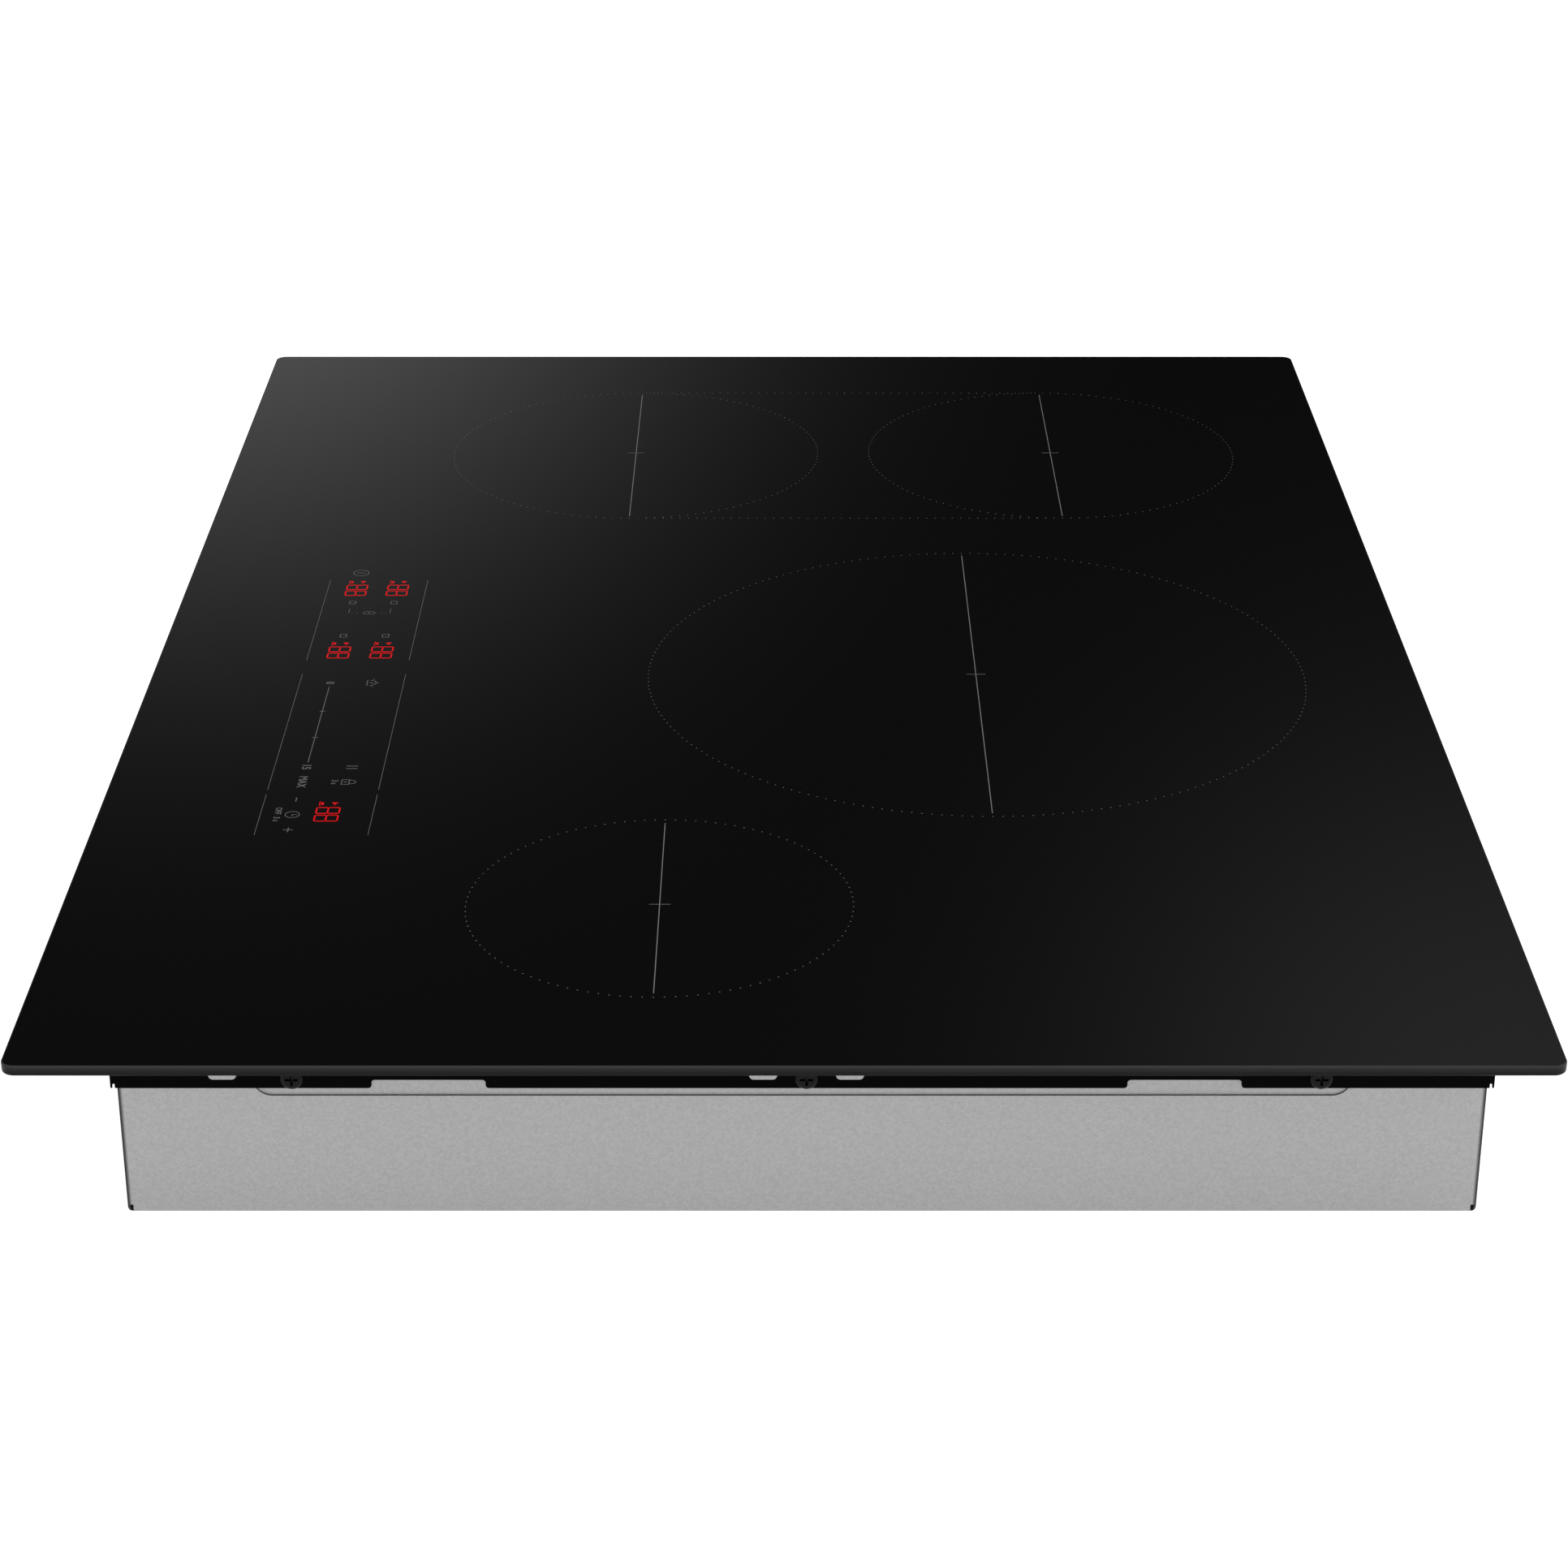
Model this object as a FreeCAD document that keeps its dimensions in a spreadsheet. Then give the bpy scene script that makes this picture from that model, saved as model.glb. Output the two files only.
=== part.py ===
import FreeCAD, Part

# Drop-in induction cooktop, 762 x 540 mm, four cooking zones and a touch panel.
# +X is the user's right, +Y points away from the user, +Z is up. The origin is
# under the centre of the glass, on the plane of the steel case's base.
# All driving sizes, in millimetres, are in the spreadsheet "sizes".

import math
import os
import re

import Sketcher
from FreeCAD import Placement, Rotation, Vector

SIZES = {
    # glass plate
    "glass_width": 762,
    "glass_depth": 540,
    "glass_thick": 4,
    "glass_corner": 5,
    "glass_edge_round": 0.5,
    "glass_under_chamfer": 0.5,
    "rim_height": 67.5,
    # worktop seal
    "gasket_inset": 5,
    "gasket_width": 8,
    "gasket_thick": 2,
    # steel case
    "body_shift": 6.4,
    "case_margin_x": 20.5,
    "case_margin_y": 29.2,
    "case_sheet": 0.6,
    "case_corner": 2,
    "case_bend": 1.5,
    "recess_depth": 0.7,
    "recess_end": 47.8,
    "recess_drop": 19.5,
    "recess_corner": 7,
    "relief_width": 1.3,
    "relief_height": 3.2,
    "relief_inset": 1.1,
    "relief_reach": 3,
    # support frame
    "frame_sheet": 0.8,
    "frame_gap": 1,
    "frame_flange": 22,
    "frame_bend": 0.7,
    "skirt_side_drop": 15.4,
    "skirt_end_drop": 14.6,
    "skirt_relief_width": 0.9,
    "skirt_relief_height": 1.7,
    "adhesive_thick": 0.8,
    "adhesive_inset": 3,
    "notch_width": 40,
    "notch_rise": 3.3,
    "notch_offset": 132.4,
    "notch_corner": 1.2,
    "fixing_shift": 1.5,
    "tab_width": 9.6,
    "tab_height": 4,
    "tab_play": 0.5,
    "tab_proud": 0.3,
    "tab_offset": 15.2,
    "tab_end_inset": 37.8,
    "tab_drop": 9.8,
    "tab_corner": 1.5,
    # screws
    "frame_screw_drop": 10.7,
    "frame_screw_side_pitch": 180,
    "frame_screw_end_pitch": 240,
    "frame_screw_shank": 1.9,
    "frame_screw_head": 4.2,
    "frame_screw_head_high": 2.6,
    "frame_screw_length": 7,
    "small_screw_shank": 1.4,
    "small_screw_head": 2.8,
    "small_screw_head_high": 2.2,
    "small_screw_length": 6,
    "screw_play": 0.15,
    # air openings, bracket holes and cable inlet of the case
    "vent_slot_length": 34,
    "vent_slot_half": 2,
    "vent_pitch": 9,
    "vent_count": 8,
    "outlet_slot_length": 22,
    "outlet_low": 12,
    "outlet_count": 10,
    "bracket_hole": 2.1,
    "bracket_inset_x": 15.5,
    "bracket_inset_y": 40.8,
    "inlet_x": 78,
    "inlet_z": 22,
    "bush_bore": 8,
    "bush_wall": 2.5,
    "bush_flange": 14,
    "bush_flange_thick": 2.5,
    "bush_inside": 9,
    "bush_play": 0.1,
    # cooking zones
    "left_zones_x": -231.5,
    "front_zone_y": -73.3,
    "rear_zone_y": 132,
    "left_zone_radius": 90,
    "centre_zone_x": 43.5,
    "centre_zone_y": 82,
    "centre_zone_radius": 140,
    "right_zone_x": 259,
    "right_zone_y": -46.5,
    "right_zone_radius": 72.5,
    # coils
    "coil_margin": 6,
    "coil_inner": 20,
    "ring_gap": 10,
    "ring_split": 74,
    "wire_width": 2.6,
    "wire_pitch": 3.2,
    "wire_height": 4,
    "mica_thick": 0.5,
    "mica_hole": 6.5,
    "former_base": 2.5,
    "former_rim": 1.6,
    "former_rim_play": 1,
    "former_hole": 16,
    "ferrite_width": 12,
    "ferrite_thick": 5,
    "ferrite_inner": 24,
    "ferrite_margin": 6,
    "coil_spring_high": 13.5,
    "coil_spring_radius": 5,
    "coil_spring_wire": 0.6,
    "coil_spring_turns": 4,
    "coil_spring_play": 0.05,
    "sensor_stem": 4,
    "sensor_cap": 5.5,
    "sensor_cap_high": 7,
    # aluminium coil plates and their pillars
    "plate_thick": 1.5,
    "plate_edge": 6,
    "pillar_side_gap": 10.5,
    "pillar_rear_gap": 17.8,
    "pillar_panel_gap": 27,
    "left_plate_inner_x": -128,
    "left_plate_front_y": -165,
    "right_plate_inner_x": -106,
    "right_plate_middle_x": 128,
    "pillar_radius": 4,
    "lead_offset": 11,
    "lead_hole": 2.6,
    "lead_radius": 1.4,
    "lead_bend": 5,
    "lead_plate_gap": 0.5,
    "lead_headroom": 1.7,
    "lead_end_play": 0.2,
    # power modules, one on each side
    "module_left_x": -240,
    "module_right_x": 240,
    "module_y": -84,
    "board_width": 200,
    "board_length": 235,
    "board_thick": 1.6,
    "board_lift": 6,
    "board_hole_inset": 6,
    "standoff_radius": 3.2,
    "sheet_thick": 0.5,
    "sheet_margin": 14,
    "sink_x": 14.5,
    "sink_y": 17.5,
    "sink_width": 50,
    "sink_length": 180,
    "sink_base": 5,
    "fin_thick": 1.4,
    "fin_count": 11,
    "lug_x": -35,
    "lug_pitch": 20,
    "lug_radius": 4,
    "lug_high": 8,
    "connector_half": 3,
    "connector_margin": 1,
    "connector_high": 5,
    "transistor_thick": 5,
    "transistor_width": 16,
    "transistor_high": 21,
    "bridge_thick": 6,
    "bridge_width": 30,
    "bridge_high": 20,
    "bridge_y": 70,
    "resonant_x": -72,
    "resonant_first_y": -80,
    "resonant_pitch": 28,
    "resonant_length": 32,
    "resonant_width": 20,
    "bus_x": 70,
    "bus_first_y": -60,
    "bus_pitch": 70,
    "bus_length": 30,
    "bus_width": 45,
    # blowers
    "blower_x": -22,
    "blower_y": 244,
    "scroll_radius": 44,
    "scroll_step": 5,
    "scroll_reach": 120,
    "scroll_tongue": 14,
    "scroll_wall": 1.5,
    "blower_headroom": 14.2,
    "inlet_margin": 2,
    "rotor_gap": 6,
    "blade_depth": 8,
    "rotor_low": 4,
    "rotor_headroom": 6.5,
    "rotor_plate": 1.2,
    "rotor_ring": 2.5,
    "rotor_hub": 14,
    "rotor_hub_wall": 1.5,
    "rotor_boss": 3.5,
    "rotor_boss_high": 5,
    "blade_count": 30,
    "blade_thick": 0.9,
    "blade_lean": 3.4,
    "blade_inset": 0.3,
    "shaft_radius": 1.5,
    "shaft_play": 0.05,
    "stator_radius": 11.5,
    "stator_gap": 8,
    "motor_flange": 17,
    "motor_flange_thick": 1.2,
    # mains filter and terminal
    "filter_x": 0,
    "filter_y": 105,
    "filter_width": 170,
    "filter_length": 160,
    "choke_x": 42,
    "choke_y": -40,
    "choke_radius": 16,
    "choke_section": 7,
    "choke_lift": 9,
    "choke_foot": 17,
    "choke_foot_high": 4,
    "film_x": -50,
    "film_first_y": 10,
    "film_pitch": 20,
    "film_length": 26,
    "film_width": 12,
    "film_high": 22,
    "relay_first_x": 10,
    "relay_pitch": 25,
    "relay_y": 50,
    "relay_length": 18,
    "relay_width": 16,
    "relay_high": 20,
    "terminal_x": -5,
    "terminal_y": 217,
    "terminal_width": 76,
    "terminal_depth": 28,
    "terminal_height": 20,
    "terminal_ways": 6,
    "cover_wall": 1.5,
    "cover_gap": 1,
    # touch panel under the glass
    "panel_low_x": -86,
    "panel_high_x": 211,
    "panel_low_y": -212,
    "panel_high_y": -150,
    "panel_wall": 2,
    "panel_depth": 13,
    "panel_above_board": 5,
    "panel_board_play": 0.3,
    "panel_ledge": 3,
    "panel_leg": 3,
    "panel_leg_high_x": 130,
    "display_high": 7,
    "display_width": 22,
    "display_depth": 12.4,
    "left_displays_x": -54.5,
    "right_displays_x": 16.5,
    "timer_display_x": 180,
    "rear_displays_y": -175,
    "front_displays_y": -193.5,
    "timer_display_y": -180.5,
    "touch_pad_radius": 3.4,
    "rear_keys_y": -175,
    "front_keys_y": -193.5,
    "power_key_x": -72.8,
    "bridge_key_x": -25,
    "bridge_key_y": -185,
    "warm_key_x": 52,
    "pause_key_x": 137.5,
    "lock_key_x": 151.5,
    "minus_key_x": 167.5,
    "clock_key_x": 181.5,
    "clock_key_y": -198,
    "plus_key_x": 195,
    "slider_low_x": 52,
    "slider_high_x": 128,
    "slider_pads": 5,
    "ribbon_width": 12,
    "ribbon_thick": 1,
    "ribbon_x": -64,
    "ribbon_y": -184,
    "ribbon_mid_z": 30,
    "ribbon_bend": 8,
    "ribbon_board_x": -150,
}

doc = FreeCAD.newDocument("induction_cooktop")
sheet = doc.addObject("Spreadsheet::Sheet", "sizes")
for row, (alias, value) in enumerate(SIZES.items(), 1):
    sheet.set(f"A{row}", alias)
    sheet.set(f"B{row}", str(value))
    sheet.setAlias(f"B{row}", alias)
doc.recompute()

subparts = []


# ---------------------------------------------------------------- small tools
def formula(text):
    """The text with each size name made a reference to its spreadsheet cell."""
    return re.sub(
        r"[a-z][a-z_]+", lambda m: "sizes." + m.group() if m.group() in SIZES else m.group(), str(text)
    )


def mm(text):
    """The present value of a formula of size names."""
    return float(sheet.evalExpression(formula(text)))


def bind(obj, **formulas):
    """Ties properties of an object to formulas; Placement__Base__x means Placement.Base.x."""
    for name, text in formulas.items():
        obj.setExpression(name.replace("__", "."), formula(text))
    return obj


def place(obj, x="0", y="0", z="0", rotation=None):
    """Puts an object at formulas for x, y and z, turned by a fixed rotation."""
    obj.Placement = Placement(Vector(), rotation or Rotation())
    return bind(obj, Placement__Base__x=x, Placement__Base__y=y, Placement__Base__z=z)


def subpart(obj):
    """Marks an object as a piece of the cooktop, to be written to parts/."""
    subparts.append(obj)
    return obj


def box(name, x, y, z, length, width, height):
    """A box from its low corner."""
    made = bind(doc.addObject("Part::Box", name), Length=length, Width=width, Height=height)
    return place(made, x, y, z)


def cylinder(name, x, y, z, radius, height, rotation=None):
    made = bind(doc.addObject("Part::Cylinder", name), Radius=radius, Height=height)
    return place(made, x, y, z, rotation)


def fuse(name, shapes):
    made = doc.addObject("Part::MultiFuse", name)
    made.Shapes = shapes
    return made


def cut(name, base, tools):
    made = doc.addObject("Part::Cut", name)
    made.Base = base
    made.Tool = tools[0] if len(tools) == 1 else fuse(name + "_tools", tools)
    return made


def link(name, master, x, y, z, rotation=None):
    """Another copy of a master object, in its own place."""
    made = doc.addObject("App::Link", name)
    made.LinkedObject = master
    return place(made, x, y, z, rotation)


def group(name, members):
    """Like pieces that share one node, as separate solids."""
    made = doc.addObject("Part::Compound", name)
    made.Links = members
    return made


def origin_feature(body, role):
    return next(f for f in body.Origin.OriginFeatures if f.Role == role)


def sketch(body, name, plane, loops, offset="0"):
    """A fully constrained sketch on one of the body's planes, at an offset along its normal.

    A loop is ("rect", x0, y0, x1, y1), ("circle", x, y, radius), ("slot", x0, x1, y, radius)
    or ("polygon", [(x, y), ...]), all of them formulas.
    """
    made = body.newObject("Sketcher::SketchObject", name)
    made.AttachmentSupport = (origin_feature(body, plane), [""])
    made.MapMode = "FlatFace"
    bind(made, AttachmentOffset__Base__z=offset)

    def fix(kind, where, text):
        index = made.addConstraint(Sketcher.Constraint(kind, *where, mm(text)))
        made.setExpression(f"Constraints[{index}]", formula(text))

    def fix_point(geometry, point, x, y):
        fix("DistanceX", (geometry, point), x)
        fix("DistanceY", (geometry, point), y)

    for kind, *data in loops:
        first = made.GeometryCount
        if kind == "rect":
            x0, y0, x1, y1 = data
            kind, data = "polygon", [[(x0, y0), (x1, y0), (x1, y1), (x0, y1)]]
        if kind == "polygon":
            corners = data[0]
            points = [Vector(mm(x), mm(y), 0) for x, y in corners]
            count = len(points)
            for i in range(count):
                made.addGeometry(Part.LineSegment(points[i], points[(i + 1) % count]), False)
            for i in range(count):
                following = first + (i + 1) % count
                made.addConstraint(Sketcher.Constraint("Coincident", first + i, 2, following, 1))
                fix_point(first + i, 1, *corners[i])
        elif kind == "circle":
            x, y, radius = data
            made.addGeometry(Part.Circle(Vector(mm(x), mm(y), 0), Vector(0, 0, 1), mm(radius)), False)
            fix_point(first, 3, x, y)
            fix("Radius", (first,), radius)
        else:
            x0, x1, y, radius = data
            a, b, r, level = mm(x0), mm(x1), mm(radius), mm(y)
            up = Vector(0, 0, 1)
            right = Part.ArcOfCircle(Part.Circle(Vector(b, level, 0), up, r), -math.pi / 2, math.pi / 2)
            left = Part.ArcOfCircle(Part.Circle(Vector(a, level, 0), up, r), math.pi / 2, 3 * math.pi / 2)
            top = Part.LineSegment(Vector(b, level + r, 0), Vector(a, level + r, 0))
            bottom = Part.LineSegment(Vector(a, level - r, 0), Vector(b, level - r, 0))
            for piece in (right, top, left, bottom):
                made.addGeometry(piece, False)
            for i in range(4):
                following = first + (i + 1) % 4
                made.addConstraint(Sketcher.Constraint("Tangent", first + i, 2, following, 1))
            fix_point(first, 3, x1, y)
            fix_point(first + 2, 3, x0, y)
            fix("Radius", (first,), radius)
            made.addConstraint(Sketcher.Constraint("Equal", first, first + 2))
    return made


def pad(body, profile, length, name):
    made = body.newObject("PartDesign::Pad", name)
    made.Profile = profile
    return bind(made, Length=length)


def pocket(body, profile, name, length=None, reverse=False, both=False):
    """Cuts a profile: down its normal, up it if reversed, or both ways; right through with no length."""
    doc.recompute()
    before = body.Shape.Volume
    made = body.newObject("PartDesign::Pocket", name)
    made.Profile = profile
    made.Reversed = reverse
    made.Midplane = both
    if length is None:
        made.Type = 1
    else:
        bind(made, Length=length)
    doc.recompute()
    if body.Shape.Volume > before - 1e-3:
        raise ValueError(f"{name} cuts nothing")
    return made


def edges(shape, test):
    """Names of the edges of a shape that pass a test of (edge, direction of a straight edge or None)."""
    found = []
    for number, edge in enumerate(shape.Edges, 1):
        straight = isinstance(edge.Curve, Part.Line)
        if test(edge, edge.Curve.Direction if straight else None):
            found.append(f"Edge{number}")
    return found


def along(axis):
    """An edge test: straight, and parallel to an axis."""
    return lambda edge, direction: direction is not None and abs(direction.dot(axis)) > 0.999


def at_height(height):
    """An edge test: wholly at one height."""
    return lambda edge, direction: (
        abs(edge.BoundBox.ZMin - height) < 1e-4 and abs(edge.BoundBox.ZMax - height) < 1e-4
    )


def dress(body, kind, name, size, test):
    """A PartDesign Fillet or Chamfer on the edges that pass a test."""
    doc.recompute()
    before = body.Tip
    made = body.newObject("PartDesign::" + kind, name)
    made.Base = (before, edges(before.Shape, test))
    bind(made, **{"Radius" if kind == "Fillet" else "Size": size})
    doc.recompute()
    return made


def polar(body, features, count, name):
    made = body.newObject("PartDesign::PolarPattern", name)
    made.Originals = features
    made.Axis = (origin_feature(body, "Z_Axis"), [""])
    made.Angle = 360
    bind(made, Occurrences=count)
    body.Tip = made
    return made


def linear(body, features, axis, length, count, name):
    made = body.newObject("PartDesign::LinearPattern", name)
    made.Originals = features
    made.Direction = (origin_feature(body, axis), [""])
    bind(made, Length=length, Occurrences=count)
    body.Tip = made
    doc.recompute()
    return made


def new_body(name):
    return doc.addObject("PartDesign::Body", name)


def ring_body(name, outer, inner, height, x, y, z):
    """A flat ring, with its axis along Z."""
    body = new_body(name)
    profile = sketch(
        body, name + "_outline", "XY_Plane", [("circle", "0", "0", outer), ("circle", "0", "0", inner)]
    )
    pad(body, profile, height, name + "_pad")
    return place(body, x, y, z)


def route(points, radius, bend):
    """A round wire of a given radius along points, with each corner an arc of the bend radius."""
    points = [Vector(*p) for p in points]
    pieces, start = [], points[0]
    for before, corner, after in zip(points, points[1:], points[2:]):
        into, out = (corner - before).normalize(), (after - corner).normalize()
        half_turn = into.getAngle(out) / 2
        one = corner - into * (bend * math.tan(half_turn))
        two = corner + out * (bend * math.tan(half_turn))
        middle = corner + (out - into).normalize() * (bend / math.cos(half_turn) - bend)
        pieces += [Part.LineSegment(start, one).toShape(), Part.Arc(one, middle, two).toShape()]
        start = two
    pieces.append(Part.LineSegment(start, points[-1]).toShape())
    path = Part.Wire(pieces)
    section = Part.Wire(Part.Circle(points[0], points[1] - points[0], radius).toShape())
    return path.makePipeShell([section], True, False)


# ---------------------------------------------------------------- shared heights and outlines
GLASS_TOP = "(rim_height + glass_thick)"
FLANGE_TOP = "(rim_height - adhesive_thick)"
CASE_TOP = "(rim_height - adhesive_thick - frame_sheet)"
SIDE_SKIRT_LOW = "(rim_height - skirt_side_drop)"
END_SKIRT_LOW = "(rim_height - skirt_end_drop)"
CASE_HALF_X = "(glass_width / 2 - case_margin_x)"
CASE_HALF_Y = "(glass_depth / 2 - case_margin_y)"
FRAME_HALF_X = f"({CASE_HALF_X} + frame_gap + frame_sheet)"
FRAME_HALF_Y = f"({CASE_HALF_Y} + frame_gap + frame_sheet)"
FIXING_Y = "(body_shift + fixing_shift)"
FRAME_SCREW_Z = "(rim_height - frame_screw_drop)"
RECESS_LOW = "(rim_height - recess_drop)"
RECESS_HALF = f"({CASE_HALF_Y} - recess_end)"

MICA_Z = "(rim_height - mica_thick)"
WIRE_Z = "(rim_height - mica_thick - wire_height)"
FORMER_Z = "(rim_height - mica_thick - wire_height - former_base)"
FERRITE_Z = "(rim_height - mica_thick - wire_height - former_base - ferrite_thick)"
PLATE_TOP = "(rim_height - mica_thick - wire_height - former_base - coil_spring_high)"
PLATE_Z = "(rim_height - mica_thick - wire_height - former_base - coil_spring_high - plate_thick)"

BOARD_Z = "(case_sheet + board_lift)"
BOARD_TOP = "(case_sheet + board_lift + board_thick)"
LEAD_RUN_Z = f"({PLATE_Z} - lead_plate_gap - lead_bend)"
# tall parts on the boards end below the coil leads
TALL_PART = f"({LEAD_RUN_Z} - lead_radius - lead_headroom - {BOARD_TOP})"
SCROLL_HIGH = f"({PLATE_Z} - blower_headroom - scroll_wall - case_sheet)"
ROTOR_HIGH = f"({SCROLL_HIGH} - rotor_low - rotor_headroom)"
ROTOR_RADIUS = "(scroll_radius - rotor_gap)"
ROTOR_INNER = "(scroll_radius - rotor_gap - blade_depth)"
PANEL_BOARD_TOP = "(rim_height - display_high)"
PANEL_BOARD_Z = "(rim_height - display_high - board_thick)"

MODULES = {"left": "module_left_x", "right": "module_right_x"}
# name: centre x, centre y, winding's outer radius, ferrite bars
ZONES = {
    "front_left": ("left_zones_x", "front_zone_y", "(left_zone_radius - coil_margin)", 8),
    "rear_left": ("left_zones_x", "rear_zone_y", "(left_zone_radius - coil_margin)", 8),
    "centre": ("centre_zone_x", "centre_zone_y", "(centre_zone_radius - coil_margin)", 12),
    "right": ("right_zone_x", "right_zone_y", "(right_zone_radius - coil_margin)", 6),
}
SPRINGS_PER_COIL = 4
SPRING_SPREAD = 0.72
EAST = Rotation(Vector(0, 0, 1), Vector(1, 0, 0))
WEST = Rotation(Vector(0, 0, 1), Vector(-1, 0, 0))
NORTH = Rotation(Vector(0, 0, 1), Vector(0, 1, 0))
SOUTH = Rotation(Vector(0, 0, 1), Vector(0, -1, 0))


# ---------------------------------------------------------------- glass, gasket, adhesive
def make_glass():
    body = new_body("glass_top")
    half_x, half_y = "glass_width / 2", "glass_depth / 2"
    outline = sketch(
        body, "glass_outline", "XY_Plane", [("rect", "-" + half_x, "-" + half_y, half_x, half_y)], "rim_height"
    )
    pad(body, outline, "glass_thick", "glass_plate")
    dress(body, "Fillet", "glass_corners", "glass_corner", along(Vector(0, 0, 1)))
    dress(body, "Fillet", "glass_edge", "glass_edge_round", at_height(mm(GLASS_TOP)))
    dress(body, "Chamfer", "glass_under_edge", "glass_under_chamfer", at_height(mm("rim_height")))
    return body


def frame_ring(name, half_x, half_y, band, shift, z, height):
    """A rectangular ring of a given band width."""
    outer = box(
        name + "_outer", f"-{half_x}", f"-{half_y} + {shift}", z, f"2 * {half_x}", f"2 * {half_y}", height
    )
    inner = box(
        name + "_inner",
        f"-{half_x} + {band}",
        f"-{half_y} + {band} + {shift}",
        z,
        f"2 * ({half_x} - {band})",
        f"2 * ({half_y} - {band})",
        height,
    )
    return cut(name, outer, [inner])


def make_gasket():
    half_x, half_y = "(glass_width / 2 - gasket_inset)", "(glass_depth / 2 - gasket_inset)"
    return frame_ring(
        "worktop_gasket", half_x, half_y, "gasket_width", "0", "rim_height - gasket_thick", "gasket_thick"
    )


def make_adhesive():
    return frame_ring(
        "glass_adhesive",
        f"({FRAME_HALF_X} - adhesive_inset)",
        f"({FRAME_HALF_Y} - adhesive_inset)",
        "(frame_flange - 2 * adhesive_inset)",
        "body_shift",
        FLANGE_TOP,
        "adhesive_thick",
    )


# ---------------------------------------------------------------- support frame and case
def side_holes(shank_play):
    """Screw holes of the left and right walls, on the YZ plane."""
    radius = f"frame_screw_shank + {shank_play}"
    return [
        ("circle", f"{FIXING_Y} + {i} * frame_screw_side_pitch", FRAME_SCREW_Z, radius) for i in (-1, 0, 1)
    ]


def end_holes(shank_play):
    """Screw holes of the front and rear walls, on the XZ plane."""
    radius = f"frame_screw_shank + {shank_play}"
    return [("circle", f"{i} * frame_screw_end_pitch", FRAME_SCREW_Z, radius) for i in (-1, 0, 1)]


TAB_PLACES = [
    f"({FIXING_Y} + tab_offset)",
    f"({FIXING_Y} - tab_offset)",
    f"(body_shift - {CASE_HALF_Y} + tab_end_inset)",
]


def tab_rect(centre, play):
    """The outline of a locating tab, or with play that of its slot."""
    return (
        "rect",
        f"{centre} - tab_width / 2 - {play}",
        f"rim_height - tab_drop - tab_height / 2 - {play}",
        f"{centre} + tab_width / 2 + {play}",
        f"rim_height - tab_drop + tab_height / 2 + {play}",
    )


def tab_corners(play):
    """An edge test: along X, at a corner of a locating tab or of its slot."""
    ends = [mm(f"{place_} + {side} * (tab_width / 2 + {play})") for place_ in TAB_PLACES for side in (-1, 1)]
    heights = [mm(f"rim_height - tab_drop + {side} * (tab_height / 2 + {play})") for side in (-1, 1)]

    def test(edge, direction):
        centre = edge.BoundBox.Center
        return (
            along(Vector(1, 0, 0))(edge, direction)
            and any(abs(centre.y - end) < 1e-3 for end in ends)
            and any(abs(centre.z - height) < 1e-3 for height in heights)
        )

    return test


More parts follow.
